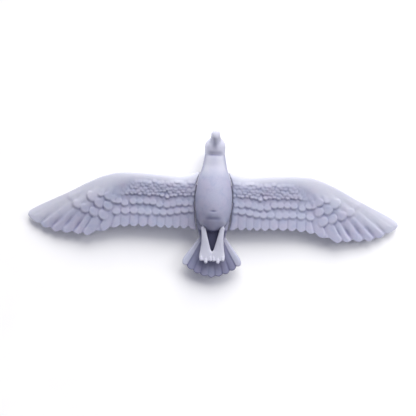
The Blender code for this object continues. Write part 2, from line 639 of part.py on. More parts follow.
def beak_mesh():
    """Blunt beak, bent towards the belly: rings along its own axis, narrower on the throat side."""
    start, tip = Vector((0, 17.4, 5.3)), Vector((0, 20.38, 9.2))
    along = (tip - start).normalized()
    up = Vector((1, 0, 0)).cross(along)
    rings = []
    for share, radius in [(0.0, 1.5), (0.45, 1.35), (0.75, 1.2), (0.9, 1.02), (0.97, 0.75), (1.0, 0.35)]:
        centre = start.lerp(tip, share)
        ring = []
        for k in range(20):
            angle = 2 * math.pi * k / 20
            pinch = 1.0 - 0.3 * max(0.0, math.sin(angle))
            ring.append(tuple(centre + Vector((1, 0, 0)) * (radius * math.cos(angle) * pinch)
                              + up * (radius * math.sin(angle))))
        rings.append(ring)
    return loft("beak", rings)


def make_tail(parts, helpers):
    """Fan of feathers: a plate with a scalloped rim, its outer feathers raised."""
    steps = 6 * TAIL_FEATHERS
    limit = math.radians(TAIL_HALF_ANGLE)
    columns = []
    for k in range(steps + 1):
        angle = -limit + 2 * limit * k / steps
        phase = (k / steps * TAIL_FEATHERS) % 1.0
        scallop = 0.38 * abs(2 * phase - 1) ** 2.2 if 0 < k < steps else 0.5
        tip_r = float(profile(TAIL_TIP_R, abs(math.degrees(angle)))) - scallop
        root_y = TAIL_SLOT_Y - 0.12
        root_r = (TAIL_PIVOT_Y - root_y) / math.cos(angle)
        column = []
        for r in np.linspace(root_r, tip_r, 7):
            x, y = r * math.sin(angle), TAIL_PIVOT_Y - r * math.cos(angle)
            raised = 0.9 * max(0.0, abs(x) - 3.2) ** 1.3 / 5.2**1.3
            half_t = 0.42 if r < 10 else 0.42 - 0.15 * (r - 10) / (tip_r - 10)
            column.append((x, y, 3.1 + raised, half_t))
        ring = [(x, y, z + t) for x, y, z, t in column] + [(x, y, z - t) for x, y, z, t in reversed(column)]
        columns.append(ring)
    tail = add_object("tail_fan", loft("tail_fan", columns), parts, (RESIN, 0.55, 0.0))
    hole = rod("tail_fan_hole", (0, TAIL_SCREW_Y, 1), (0, TAIL_SCREW_Y, 5), SCREW_D / 2 + RUN_GAP)
    boolean(tail, cutter(add_object("tail_fan_hole", hole, helpers)), "DIFFERENCE")
    return tail


def make_legs(parts, helpers):
    """Both legs and the joined webbed feet, one casting with two pegs for the belly sockets."""
    left, right = (loft("leg", leg_rings(0.0, -16.0, -6.6, side, 16)) for side in (1, -1))
    legs = add_object("legs_and_feet", left, parts, (RESIN, 0.5, 0.0))
    others = [right, leg_peg(0.0, 1), leg_peg(0.0, -1)]
    level = float(profile(LEG_LEVEL, -15.0))
    for side in (1, -1):
        for x, tip_y in TOES:
            start, end = (side * x, -14.2, level), (side * x, tip_y, level - 0.05)
            others.append(rod("toe", start, end, 0.5, 0.22, sides=12))
    for mesh in others:
        boolean(legs, cutter(add_object(f"legs_{mesh.name}", mesh, helpers)), "UNION")
    return legs


def make_washer(parts):
    """Flat washer under the neck screw's head."""
    outer, inner, near, far = 1.1, SCREW_D / 2 + RUN_GAP, 12.8, 13.0
    bm = bmesh.new()
    corners = [(inner, near), (outer, near), (outer, far), (inner, far)]
    loop = [bm.verts.new((r * MM, y * MM, 0)) for r, y in corners]
    for a, b in zip(loop, loop[1:] + loop[:1]):
        bm.edges.new((a, b))
    bmesh.ops.spin(bm, geom=bm.verts[:] + bm.edges[:], axis=(0, 1, 0), cent=(0, 0, 0), steps=32,
                   angle=2 * math.pi, use_merge=True)
    bmesh.ops.recalc_face_normals(bm, faces=bm.faces)
    mesh = bpy.data.meshes.new("neck_washer")
    bm.to_mesh(mesh)
    bm.free()
    washer = add_object("neck_washer", mesh, parts, (STEEL, 0.3, 1.0))
    washer.location = (0, 0, NECK_Z * MM)
    return washer


# ---------------------------------------------------------------- assembly
def clear_scene():
    for old in list(bpy.data.objects):
        bpy.data.objects.remove(old, do_unlink=True)


def main():
    clear_scene()
    parts = collection("seabird_wing_decoy")
    helpers = collection("cutters", hidden=True)
    make_shells(parts, helpers)
    make_frame(parts, helpers)
    for name, side in {"left": 1, "right": -1}.items():
        hub = make_hub(f"{name}_wing_hub", side, parts, helpers)
        wing = make_wing(f"{name}_wing", side, parts, helpers)
        make_pin(f"{name}_hinge_pin", side, parts)
        make_spring(f"{name}_return_spring", side, parts)
        seat = (side * WING_SCREW[0], WING_SCREW[1], 3.09)
        screw = make_screw(f"{name}_wing_screw", seat, (0, 0, 1), 1.8, parts,
                           head_r=0.72, head_t=0.35, shank_r=0.4)
        pivot = bpy.data.objects.new(f"{name}_flap_axis", None)
        pivot.location = (side * HINGE_X * MM, 0.5 * sum(TONGUE_Y) * MM, HINGE_Z * MM)
        parts.objects.link(pivot)
        for made in (hub, wing, screw):
            made.parent = pivot
            made.matrix_parent_inverse = pivot.matrix_basis.inverted()
    for name, (y, seat, tip) in shell_screw_places().items():
        make_screw(f"shell_screw_{name}", (0, y, seat - HEAD_GAP), (0, 0, 1), tip - seat, parts)
    for name, foot in {"front": FRONT_FOOT_Y, "rear": REAR_FOOT_Y}.items():
        seat = (0, sum(foot) / 2, FOOT_Z[1] + HEAD_GAP)
        make_screw(f"frame_screw_{name}", seat, (0, 0, -1), FRAME_SCREW_LENGTH, parts)
    make_screw("neck_pivot_screw", (0, 12.74, NECK_Z), (0, 1, 0), 3.9, parts)
    make_washer(parts)
    make_head(parts, helpers)
    make_tail(parts, helpers)
    make_screw("tail_screw", (0, TAIL_SCREW_Y, 1.84), (0, 0, 1), 2.7, parts)
    make_legs(parts, helpers)


main()
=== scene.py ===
"""Looks of the flapping seabird decoy: sculpted resin skins, small hardware, materials, light and camera.

Lengths are in millimetres until a mesh is made, where MM turns them into metres.
+Y runs to the beak, +Z out of the belly, +X to the bird's left wing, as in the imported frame.
"""

import math

import bmesh
import bpy
import numpy as np
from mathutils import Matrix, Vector, kdtree


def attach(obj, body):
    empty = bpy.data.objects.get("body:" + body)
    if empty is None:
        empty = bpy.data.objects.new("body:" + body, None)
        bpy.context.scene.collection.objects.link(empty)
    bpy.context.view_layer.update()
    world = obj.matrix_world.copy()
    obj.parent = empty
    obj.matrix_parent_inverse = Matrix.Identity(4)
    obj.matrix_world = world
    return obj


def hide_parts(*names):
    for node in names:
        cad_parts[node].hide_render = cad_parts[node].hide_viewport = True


MM = 0.001
SHARE_OF_DETAIL = 1.0

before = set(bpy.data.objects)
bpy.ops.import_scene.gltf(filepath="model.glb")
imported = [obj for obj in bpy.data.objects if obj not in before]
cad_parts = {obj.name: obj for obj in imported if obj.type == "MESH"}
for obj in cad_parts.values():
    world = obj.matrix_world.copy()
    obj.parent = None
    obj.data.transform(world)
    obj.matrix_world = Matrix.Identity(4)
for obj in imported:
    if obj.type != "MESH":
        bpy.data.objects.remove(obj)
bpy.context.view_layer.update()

# ---- sizes shared with the frame (mm)
HINGE_X, HINGE_Z = 2.6, 4.2
TONGUE_Y, TONGUE_END, TONGUE_HALF_T = (0.6, 5.4), 9.3, 0.5
POCKET_GAP, POCKET_START_X = 0.12, 3.0
WALL = 0.85
PARTING_Z, SHELL_GAP = 4.4, 0.08
WINDOW_X, WINDOW_MARGIN, WINDOW_Z = (3.4, 6.2), 0.25, (1.8, 5.75)
NECK_Z = 5.3
NECK_SEAM_Y, SEAM_SETBACK, SEAM_ROUNDING = 14.0, 0.004, 0.012
SCREW_R = 0.45
RUN_GAP = 0.05
TAIL_SCREW_Y, TAIL_SLOT_Y, TAIL_SLOT_Z = -11.0, -8.7, (2.5, 3.7)
WING_SCREW, WING_HOLE_TOP_Z, WING_SEAT_Z, WING_WELL_R = (7.5, 3.0), 4.98, 3.15, 0.8
SHELL_SCREWS = {"front": (10.6, 1.85), "rear": (-4.9, 0.85)}  # y, and z of the head's seat
BACK_BOSS_R, BELLY_BOSS_R, SHELL_HOLE_TOP_Z, SHELL_WELL_R = 1.25, 1.15, 6.5, 0.97
FRAME_SCREWS = {"front": 7.55, "rear": -2.25}
FRAME_BOSS_R, FRAME_BOSS_TOP_Z = 0.95, 2.14

TRUNK_REAR_Y, RUMP_REAR_Y, RUMP_FRONT_Y = -7.9, -13.5, -1.0
# Curves of the body along y: half width, belly level, back level and the level of the widest place.
TRUNK_HALF = [(-7.9, 0.25), (-7.6, 0.95), (-7.2, 1.7), (-6.8, 2.4), (-6.1, 3.35), (-4.7, 4.3), (-3.5, 4.75),
              (-1, 5.2), (2, 5.35), (4, 5.15), (6.6, 4.7), (9, 3.9), (11, 3.35), (13.9, 2.88)]
TRUNK_TOP = [(-7.9, 6.2), (-7.6, 6.8), (-7, 7.6), (-6, 8.7), (-4, 10), (-2, 10.6), (0.5, 10.8), (4, 10.5),
             (7, 9.8), (9, 9.1), (11, 8.45), (13.9, 8)]
TRUNK_BOTTOM = [(-7.9, 0.7), (-6, 0.1), (-4, -0.3), (5, -0.3), (9, 0.6), (11, 1.2), (13.9, 2.2)]
TRUNK_WIDEST = [(-7.9, 4.4), (8, 4.4), (13.9, 5.2)]
RUMP_HALF = [(-13.5, 2.9), (-12, 3.2), (-10, 3.45), (-8, 3.95), (-6.9, 4.35), (-4.7, 4.8), (-3, 4.95),
             (-1, 4.75)]
RUMP_TOP = [(-13.5, 4.2), (-11, 5), (-9, 5.5), (-7, 5.9), (-4, 6.2), (-1, 6.3)]
RUMP_BOTTOM = [(-13.5, 2.1), (-11, 1.2), (-9, 0.6), (-7, 0.35), (-4, 0.2), (-1, 0.5)]
BACK_POWER = 2.3  # how square the back is; 2 would be an ellipse

# Curves of the wing along x.
LEADING_EDGE = [(4, 9.15), (6.5, 8.4), (9.5, 7.87), (15, 8.2), (23, 8.6), (27, 8.4), (30.5, 7.5), (35, 5.6),
                (41, 2.4), (46, 0), (50, -1.95), (51.8, -2.95), (52.5, -3.5), (52.9, -4.1)]
WING_LEVEL = [(4, 4.3), (9.5, 4.3), (24, 3.9), (38, 2.9), (52.9, 1.4)]
WING_THICKNESS = [(4, 2.4), (6.5, 2.6), (10, 2.5), (24, 1.8), (35, 1.25), (45, 0.85), (52.9, 0.6)]
EDGE_THICKNESS = [(4, 0.8), (24, 0.6), (52.9, 0.4)]
WING_CAMBER = 0.5
WING_TIP_X = 52.85
ROOT_X, ROOT_BLEND = 5.6, 5.0  # the root's station, and how far out the trunk bends the stations
# The root ends in a thin lip beside the trunk; along the window it is thicker and reaches inside.
ROOT_GAP = [(-8, 0.4), (-4, 0.28), (-2, 0.18), (0.38, 0.14), (0.7, -0.14), (5.3, -0.14), (5.62, 0.12),
            (6.5, 0.10), (9.5, 0.10)]
LIP_LENGTH = [(5, 0.7), (7, 0.45)]
LIP_SHARE = [(0.1, 0.26), (0.5, 0.56), (5.5, 0.56), (5.9, 0.3), (7, 0.3)]

# ---- the feathers (mm)
# Tips along the trailing edge, from the body outwards.
FEATHER_TIPS = [(5.7, -7.2), (8.2, -7.1), (10.4, -7.1), (12.5, -7.1), (14.8, -7.1), (17.2, -6.9),
                (19.9, -6.9), (22.4, -6.9), (25, -7.1), (27.6, -7.4), (30.6, -8.4), (35.6, -9.95),
                (38.3, -9.55), (41.7, -9.35), (44.8, -9.15), (48.1, -8), (50.9, -6.4), (52.2, -5.55),
                (52.9, -4.6)]
SECONDARY_COUNT = 10
NOTCH_DEPTH = [(4, 0.85), (28, 0.8), (36, 0.75), (49, 0.6), (51.2, 0.1), (52.9, 0)]
# Flight feathers and coverts as (base x, base y, tip x, tip y, half width).
PRIMARIES = [(28.6, -1.5, 30.8, -9, 1.75), (30.5, -1.5, 36, -10.5, 1.75), (33, -1.8, 38.7, -10.1, 1.45),
             (34.5, -1, 42.2, -9.8, 1.6), (36, -0.2, 45.3, -9.6, 1.6), (37.5, 0.8, 48.6, -8.5, 1.6),
             (38.5, 2, 51.4, -6.8, 1.6), (37, 2.8, 53.4, -5.2, 2.3)]
PRIMARY_SLANT = (0.30, 0.36, 0.40, 0.42, 0.42, 0.36, 0.24, 0)
# Soft hollows between the primaries, as (x, y, half length, half width, direction in degrees, depth).
PRIMARY_HOLLOWS = [(38.3, -6.9, 2, 0.6, -58, 0.22), (41.2, -6.3, 2.2, 0.65, -55, 0.22),
                   (44.7, -6.3, 2, 0.5, -50, 0.16), (48, -5.6, 2.2, 0.45, -45, 0.12),
                   (35.6, -6.6, 1.6, 0.4, -62, 0.10)]
PRIMARY_COVERTS = [(28, -1, 32.3, -4.9, 1.7), (31, -0.6, 35, -4, 1.6), (33.2, 0.9, 37.6, -3.1, 1.6),
                   (27, 1.6, 31, -2.2, 1.6), (29.8, 1.9, 33.6, -1.5, 1.6), (35.2, 2.3, 39.8, -1.95, 1.5),
                   (26.6, 4.4, 28.6, -0.5, 1.5), (28.3, 4.9, 30.4, 0.3, 1.5), (30.2, 4.2, 32.9, 1.5, 1.2),
                   (31.6, 4.3, 35.6, 0.15, 1.8), (35.4, 4.2, 41.4, 0.4, 1.5)]
GREATER_TIPS = [(6.1, -2.6), (8, -2.9), (10.2, -3.2), (12.1, -3.55), (14.1, -3.75), (16.1, -3.65),
                (18.6, -3.8), (20.5, -3.6), (22.5, -3.55), (24.9, -3.7), (27.5, -3.9)]
MEDIAN_TIPS = [(6.2, -0.75), (7.9, -0.95), (9.8, -0.85), (11.5, -1.25), (13.2, -1.6), (15.3, -1.5),
               (17.2, -0.85), (18.9, -0.75), (20.9, -0.75), (22.8, -0.85), (25.2, -1.35), (27.1, -0.75)]
LESSER_LINES = [1.9, 2.75, 3.6, 4.4, 5.2]  # y of the tips, from the rear row to the front row
LESSER_PITCH, LESSER_END_X = 1.26, 27.0
# The tail's feathers fan out from a pivot; the tips' distance from it depends on the angle in degrees.
TAIL_PIVOT_Y = -4.4
TAIL_FEATHERS = 9
TAIL_HALF_ANGLE = 36.5
TAIL_TIP_R = [(0, 16.5), (16, 15.9), (24, 15.5), (31, 15.2), (36.5, 14.9)]

# Curves of one leg along y, from the web of the foot to the thigh.
LEG_OUTER = [(-16, 3.45), (-15, 3.65), (-12.6, 3.3), (-10, 3.1), (-8, 3.2), (-6.6, 3.35)]
LEG_INNER = [(-16, -0.5), (-14, -0.5), (-13.4, 0), (-12.9, 0.4), (-11.5, 0.8), (-10, 1.2), (-8.5, 1.6),
             (-6.6, 2)]
LEG_LEVEL = [(-16, 5.2), (-13, 5.5), (-9, 6.25), (-6.6, 6.6)]
LEG_HALF_T = [(-16, 0.42), (-13, 0.5), (-9, 0.62), (-6.6, 0.62)]
LEG_ROUNDNESS = 0.78
LEG_REAR_Y, LEG_ROOT_Y = -16, -6.6
PEG_X, PEG_R, SOCKET_R = 2.65, 0.5, 0.6
TOES = [(3.05, -16.1), (1.7, -16.8), (0.45, -16.2)]  # x and tip y
TOE_LIFT = 0.04

# The head is made of round-ended rods, as (start, end, radius at the start, radius at the end).
BEAK_BASE, BEAK_TIP = (0, 17.4, 6), (0, 19.56, 8.9)
BEAK = (BEAK_BASE, BEAK_TIP, 1.55, 1.27)
SKULL = ((0, 13, 5.16), (0, 16.2, 5.25), 2.83, 2.90)
KEEL = ((0, 16.1, 7.45), (0, 18.7, 9.1), 0.7, 0.9)
HEAD_CENTRE = (0, 16.9, 5.9)
EYE, EYE_R, EYE_DEPTH, EYE_RING_R = (2.42, 17, 5), 0.52, 0.12, 0.66


# ---- curves and meshes
def profile(points, at):
    """Smooth curve through (place, value) pairs, with slopes limited so it never overshoots."""
    x, y = np.array(points, dtype=float).T
    step = np.diff(x)
    slope = np.diff(y) / step
    tangent = np.zeros(len(x))
    rising = slope[:-1] * slope[1:] > 0
    joined = 2 * slope[:-1] * slope[1:] / np.where(rising, slope[:-1] + slope[1:], 1.0)
    tangent[1:-1] = np.where(rising, joined, 0.0)
    tangent[0], tangent[-1] = slope[0], slope[-1]
    at = np.clip(np.asarray(at, dtype=float), x[0], x[-1])
    i = np.clip(np.searchsorted(x, at) - 1, 0, len(x) - 2)
    t = (at - x[i]) / step[i]
    value = (2 * t**3 - 3 * t**2 + 1) * y[i] + (t**3 - 2 * t**2 + t) * step[i] * tangent[i]
    return value + (3 * t**2 - 2 * t**3) * y[i + 1] + (t**3 - t**2) * step[i] * tangent[i + 1]


def smooth(t):
    """Ease from 0 to 1 as t goes from 0 to 1."""
    t = np.clip(t, 0.0, 1.0)
    return t * t * (3 - 2 * t)


def count(fine):
    """Grid size for this run."""
    return max(8, int(fine * SHARE_OF_DETAIL))


def soften(field, times):
    """Blur a grid by averaging neighbours; times is the number of passes at full detail."""
    for _ in range(max(1, round(times * SHARE_OF_DETAIL**2))):
        padded = np.pad(field, 1, mode="edge")
        field = (padded[:-2, 1:-1] + padded[2:, 1:-1] + padded[1:-1, :-2] + padded[1:-1, 2:] + 2 * field) / 6
    return field


def relief_attributes(height, times=16, depth=0.10):
    """How deep each point lies in a groove or a wider hollow, and how far it stands out, both 0 to 1."""
    near = (soften(height, times) - height) / depth
    wide = 0.7 * (soften(height, 5 * times) - height) / (2 * depth)
    return np.clip(np.maximum(near, wide), 0, 1), np.clip(np.maximum(-near, -wide), 0, 1)


def new_object(name, data):
    made = bpy.data.objects.new(name, data)
    bpy.context.scene.collection.objects.link(made)
    return made


def from_bmesh(bm, name="tool"):
    """Object of a finished bmesh."""
    mesh = bpy.data.meshes.new(name)
    bm.to_mesh(mesh)
    bm.free()
    return new_object(name, mesh)


def add_piece(name, points, faces, groove=None, ridge=None, sharp_deg=40):
    """New smooth-shaded object from points in mm, with its relief values stored for the material's painted
    shade and highlight.
    """
    mesh = bpy.data.meshes.new(name)
    mesh.from_pydata((np.asarray(points, dtype=float) * MM).tolist(), [], faces)
    for title, values in (("groove", groove), ("ridge", ridge)):
        if values is not None:
            mesh.attributes.new(title, "FLOAT", "POINT").data.foreach_set("value", np.asarray(values).ravel())
    bm = bmesh.new()
    bm.from_mesh(mesh)
    bmesh.ops.recalc_face_normals(bm, faces=bm.faces)
    bm.to_mesh(mesh)
    bm.free()
    made = new_object(name, mesh)
    shade(made, sharp_deg)
    return made


def shade(made, sharp_deg=40):
    """Smooth shading, but with a crisp edge wherever faces meet at more than sharp_deg."""
    made.data.polygons.foreach_set("use_smooth", [True] * len(made.data.polygons))
    made.data.set_sharp_from_angle(angle=math.radians(sharp_deg))


def ring_faces(rings, around, strip_caps=False):
    """Faces of a closed skin over a grid of rings, with a cap on each end."""
    a = np.arange(rings - 1)[:, None] * around
    b = np.arange(around)[None, :]
    c = (b + 1) % around
    quads = np.stack([a + b, a + c, a + around + c, a + around + b], axis=-1).reshape(-1, 4).tolist()
    last = (rings - 1) * around
    if not strip_caps:
        return quads + [list(range(around)), list(range(last, last + around))]
    strip = [[0, 1, around - 1]] + [[i, i + 1, around - 1 - i, around - i] for i in range(1, around // 2)]
    return quads + strip + [[last + v for v in face] for face in strip]


def box(low, high):
    """Box between two corners in mm, as a tool for cut or join."""
    bm = bmesh.new()
    bmesh.ops.create_cube(bm, size=1.0)
    low, high = Vector(low) * MM, Vector(high) * MM
    for v in bm.verts:
        v.co = Vector(a + (b - a) * (c + 0.5) for a, b, c in zip(low, high, v.co))
    return from_bmesh(bm)


def rod(start, end, radius, sides=48):
    """Rod between two points in mm, as a tool for cut or join."""
    start, end = Vector(start) * MM, Vector(end) * MM
    bm = bmesh.new()
    bmesh.ops.create_cone(bm, cap_ends=True, segments=sides, radius1=radius * MM, radius2=radius * MM,
                          depth=(end - start).length)
    turn = Vector((0, 0, 1)).rotation_difference(end - start).to_matrix().to_4x4()
    turn.translation = (start + end) / 2
    bmesh.ops.transform(bm, matrix=turn, verts=bm.verts)
    return from_bmesh(bm)


def cut(*tools):
    """Steps for carve that take the tools away."""
    return [("DIFFERENCE", tool) for tool in tools]


def join(*tools):
    return [("UNION", tool) for tool in tools]


def carve(target, steps):
    """Apply Boolean steps, given as (operation, tool) pairs, and throw the tools away."""
    for operation, tool in steps:
        step = target.modifiers.new(operation, "BOOLEAN")
        step.operation = operation
        step.solver = "EXACT"
        step.object = tool
    view = bpy.context.evaluated_depsgraph_get()
    mesh = bpy.data.meshes.new_from_object(target.evaluated_get(view))
    target.modifiers.clear()
    old, target.data = target.data, mesh
    bpy.data.meshes.remove(old)
    for tool in {tool for _, tool in steps}:
        bpy.data.objects.remove(tool)
    return target


SAME_PLACE = 0.02  # points closer than this (mm) are taken to be the same point


def read_relief(made):
    """Places of an object's points with their groove and ridge values."""
    mesh = made.data
    columns = []
    for name in ("groove", "ridge"):
        values = np.zeros(len(mesh.vertices))
        mesh.attributes[name].data.foreach_get("value", values)
        columns.append(values)
    return [v.co.copy() for v in mesh.vertices], columns


def carry_relief(made, places, columns):
    """Give the points that came from another object by a union that object's groove and ridge values."""
    tree = kdtree.KDTree(len(places))
    for index, place in enumerate(places):
        tree.insert(place, index)
    tree.balance()
    near = [tree.find(v.co) for v in made.data.vertices]
    for name, source in zip(("groove", "ridge"), columns):
        data = made.data.attributes[name].data
        for index, (_, found, distance) in enumerate(near):
            if distance < SAME_PLACE * MM:
                data[index].value = source[found]


# ---- feather relief
def lay_feather(field, x, y, feather, lift, crown, slant=0.0, blunt=0.85, edge=0.14, soft=0.3, fade=0.5):
    """Lay one feather on a height field, hiding what it covers.

    It rises by lift towards its tip, is crowned across, and slant raises its leading side over its neighbour.
    Its tip ends in a step as wide as edge; its sides and its base melt into the field.
    """
    bx, by, tx, ty, half = feather
    length = math.hypot(tx - bx, ty - by)
    ax, ay = (tx - bx) / length, (ty - by) / length
    u = (x - bx) * ax + (y - by) * ay
    v = (x - bx) * ay - (y - by) * ax
    near = (u > -0.1) & (u < length + 0.1) & (np.abs(v) < half + 0.1)
    u, v = u[near], v[near]
    reach = blunt * half
    inside = (1 - np.hypot(np.maximum(u - (length - reach), 0) / reach, v / half)) * half
    width = edge + soft * smooth((length - reach - u) / 1.2)
    cover = smooth(inside / width) * smooth(u / fade)
    t = np.clip(u / length, 0, 1)
    rise = lift * t**1.6 + (crown * (1 - (v / half) ** 2) - 0.5 * slant * v / half) * smooth(1.4 * t)
    field[near] = field[near] * (1 - cover) + rise * cover


def wing_feathers(seed, underside_out):
    """All rows of one wing face, rearmost first; on the belly side each primary lies over the next one."""
    jitter = np.random.default_rng(seed)
    tips = FEATHER_TIPS
    rows = []
    for n in range(SECONDARY_COUNT):
        x, y = tips[n]
        half = 0.51 * (tips[n + 1][0] - tips[max(n - 1, 0)][0]) / (2 if n else 1)
        how = dict(lift=0.06, crown=0.07 if x < 17 else 0.16, slant=0.05, edge=0.2, soft=0.15)
        rows.append(((x, -1.0, x, y - 0.5, half), how))
    flight = list(zip(PRIMARIES, PRIMARY_SLANT))
    for feather, slant in flight[::-1] if underside_out else flight:
        how = dict(lift=0.05, crown=0.08, slant=slant, blunt=0.9, edge=0.3, soft=0.25, fade=3.0)
        rows.append((feather, how))
    for x, y in GREATER_TIPS:
        half = 1.3 + jitter.uniform(-0.07, 0.07)
        rows.append(((x, y + 3.4, x + 0.1, y, half), dict(lift=0.36, crown=0.03, edge=0.22, soft=1.3)))
    for feather in PRIMARY_COVERTS:
        lift = 0.14 if feather is PRIMARY_COVERTS[-1] else 0.36
        rows.append((feather, dict(lift=lift, crown=0.04, blunt=0.85, edge=0.24, soft=1.3, fade=2.0)))
    for x, y in MEDIAN_TIPS:
        half = 1.15 + jitter.uniform(-0.08, 0.08)
        rows.append(((x, y + 3.0, x + 0.05, y, half), dict(lift=0.34, crown=0.03, edge=0.22, soft=1.2)))
    for n, line in enumerate(LESSER_LINES):
        front_row = n == len(LESSER_LINES) - 1
        length, soft = (1.5, 1.2) if front_row else (2.0, 0.6)
        for x in np.arange(5.7 + 0.5 * LESSER_PITCH * (n % 2), LESSER_END_X - 0.6 * n, LESSER_PITCH):
            dip = 0.55 * math.exp(-(((x - 13) / 1.8) ** 2)) * (n == 0)
            tip_x, tip_y = x + jitter.uniform(-0.2, 0.2), line - dip + jitter.uniform(-0.24, 0.24)
            lift = (0.37 - 0.02 * n) * float(smooth((LESSER_END_X + 0.5 - 0.7 * n - x) / 4.0))
            lift *= jitter.uniform(0.8, 1.1)
            half = 0.8 + jitter.uniform(-0.1, 0.1)
            how = dict(lift=lift, crown=0.15 * lift, blunt=0.9, edge=0.2, soft=soft, fade=0.6)
            rows.append(((tip_x, tip_y + length, tip_x + 0.05, tip_y, half), how))
    return rows


def primary_hollows(x, y):
    """Depth of the soft hollows between the primaries."""
    depth = np.zeros_like(x)
    for hx, hy, half_length, half_width, turn, deep in PRIMARY_HOLLOWS:
        c, s = math.cos(math.radians(turn)), math.sin(math.radians(turn))
        along, across = (x - hx) * c + (y - hy) * s, (y - hy) * c - (x - hx) * s
        depth += deep * np.exp(-((along / half_length) ** 2) - (across / half_width) ** 2)
    return depth


def trailing_edge(x):
    """Rear outline of the wing: round lobes between sharp notches."""
    tip_x, tip_y = np.array(FEATHER_TIPS).T
    i = np.clip(np.searchsorted(tip_x, x) - 1, 0, len(tip_x) - 2)
    t = np.clip((x - tip_x[i]) / (tip_x[i + 1] - tip_x[i]), 0, 1)
    lobe = (1 - np.abs(2 * t - 1)) ** 1.6
    return tip_y[i] + t * (tip_y[i + 1] - tip_y[i]) + profile(NOTCH_DEPTH, x) * lobe


def trunk_half_width(y):
    """Half width of the body beside the wing: the trunk's, or the rump's where that is wider."""
    y = np.asarray(y, dtype=float)
    return np.maximum(profile(TRUNK_HALF, y), np.where(y < RUMP_FRONT_Y, profile(RUMP_HALF, y), 0.0))


def wing_plan():
    """Grid of the wing: station along the span, share of the chord, x, y, and the chord's two ends."""
    columns, rows = count(400), count(114)
    lip, rest = ROOT_X + np.linspace(0, 0.8, 8), np.linspace(6.5, WING_TIP_X, columns)
    station = np.concatenate([lip, rest])[:, None]
    share = (np.linspace(0, 1, rows) ** 1.35)[None, :]
    x = station + 0 * share
    for _ in range(4):  # x and y depend on each other, because the root follows the trunk's side
        front = profile(LEADING_EDGE, x)
        rear = np.minimum(trailing_edge(x), front - 0.15)
        y = front + share * (rear - front)
        root = trunk_half_width(y) + profile(ROOT_GAP, y)
        x = station + (root - ROOT_X) * np.clip(1 - (station - ROOT_X) / ROOT_BLEND, 0, None)
    return station, share, x, y, front, rear


def wing_reliefs(x, y, fade):
    """Feather relief of the wing's belly face and of its back face."""
    reliefs = []
    for seed, underside_out in ((5, True), (11, False)):
        relief = np.zeros_like(x)
        for feather, how in wing_feathers(seed, underside_out):
            lay_feather(relief, x, y, feather, **how)
        outer = smooth((x - 34) / 8)
        relief = soften(relief, 4) * (1 - outer) + soften(relief, 16) * outer - primary_hollows(x, y)
        reliefs.append(relief * fade)
    return reliefs


def round_trip(over, under):
    """Join the belly face's grid and the back face's, read backwards, into closed rings."""
    return np.concatenate([over, under[:, :0:-1]], axis=1)


def wing_skin(side):
    """Both faces of a wing on one grid: rings of chord sections from the root to the tip."""
    station, share, x, y, front, rear = wing_plan()
    depth = front - y
    # Thickness: a round nose behind the leading edge, then an even fall to the trailing edge.
    nose = np.minimum(3.2 + 3.0 * smooth((x - 24) / 10), 0.6 * (front - rear))
    swell = np.sqrt(np.clip(1 - (1 - np.minimum(depth / nose, 1.0)) ** 2, 0, None))
    fall = np.clip(depth - nose, 0, None) / np.maximum(0.3, front - rear - nose)
    thick, thin = profile(WING_THICKNESS, x), profile(EDGE_THICKNESS, x)
    half_t = 0.5 * (thick * swell + (thin - thick) * fall)
    # The middle surface sags between the edges, except near the root and the tip.
    ends = np.clip(np.minimum((x - 7) / 8, (WING_TIP_X - x) / 12), 0, 1)
    hollow = WING_CAMBER * 4 * share * (1 - share) * ends
    middle = profile(WING_LEVEL, x) - hollow
    # The root's lip, and the step under its front half that clears the trunk's shoulder.
    inward = np.clip(1 - (station - ROOT_X) / profile(LIP_LENGTH, y), 0, 1)
    thin_lip = profile(LIP_SHARE, y)
    rounding = thin_lip + (1 - thin_lip) * np.sqrt(1 - inward**2)
    under_cut = 0.4 * smooth((y - TONGUE_Y[1] - 0.2) / 1.2) * smooth((7.6 - station) / 1.8)
    reliefs = wing_reliefs(x, y, smooth(depth / 1.6) * smooth((station - ROOT_X) / 0.8 + 0.2))
    top = middle + half_t * rounding + reliefs[0] - 0.12
    low = middle - half_t * (rounding - under_cut) - 0.8 * reliefs[1] + 0.1
    low = np.minimum(low, top - 0.12 * np.minimum(1, share * 30))
    points = np.stack([side * round_trip(x, x), round_trip(y, y), round_trip(top, low)], axis=-1)
    over, under = (relief_attributes(relief) for relief in reliefs)
    # Painted shade in the feathers' grooves and hollows, painted highlight where they stand out.
    groove = round_trip(over[0], under[0]) * smooth((station - ROOT_X - 0.1) / 0.9)
    # The leading edge gets a painted highlight, in a band that is wider past the wrist.
    lead = 0.9 * smooth(1.1 - depth / (3.6 + 4.4 * smooth((x - 22) / 12)))
    ridge = np.maximum(0.55 * round_trip(over[1], under[1]), round_trip(lead, lead))
    return points.reshape(-1, 3), ring_faces(*groove.shape, strip_caps=True), groove, ridge


def make_wing(name, side):
    """A wing with the pocket for its hub's tongue and the stepped hole for its screw."""
    wing = add_piece(f"{name}_skin", *wing_skin(side), sharp_deg=60)
    low_x, high_x = sorted((side * POCKET_START_X, side * (TONGUE_END + POCKET_GAP)))
    low_y, high_y = TONGUE_Y[0] - POCKET_GAP, TONGUE_Y[1] + POCKET_GAP
    half_t = TONGUE_HALF_T + POCKET_GAP
    sx, sy = side * WING_SCREW[0], WING_SCREW[1]
    carve(wing, cut(box((low_x, low_y, HINGE_Z - half_t), (high_x, high_y, HINGE_Z + half_t)),
                    rod((sx, sy, 1.5), (sx, sy, WING_HOLE_TOP_Z), SCREW_R),
                    rod((sx, sy, 1.0), (sx, sy, WING_SEAT_Z), WING_WELL_R)))
    shade(wing, 60)
    return wing


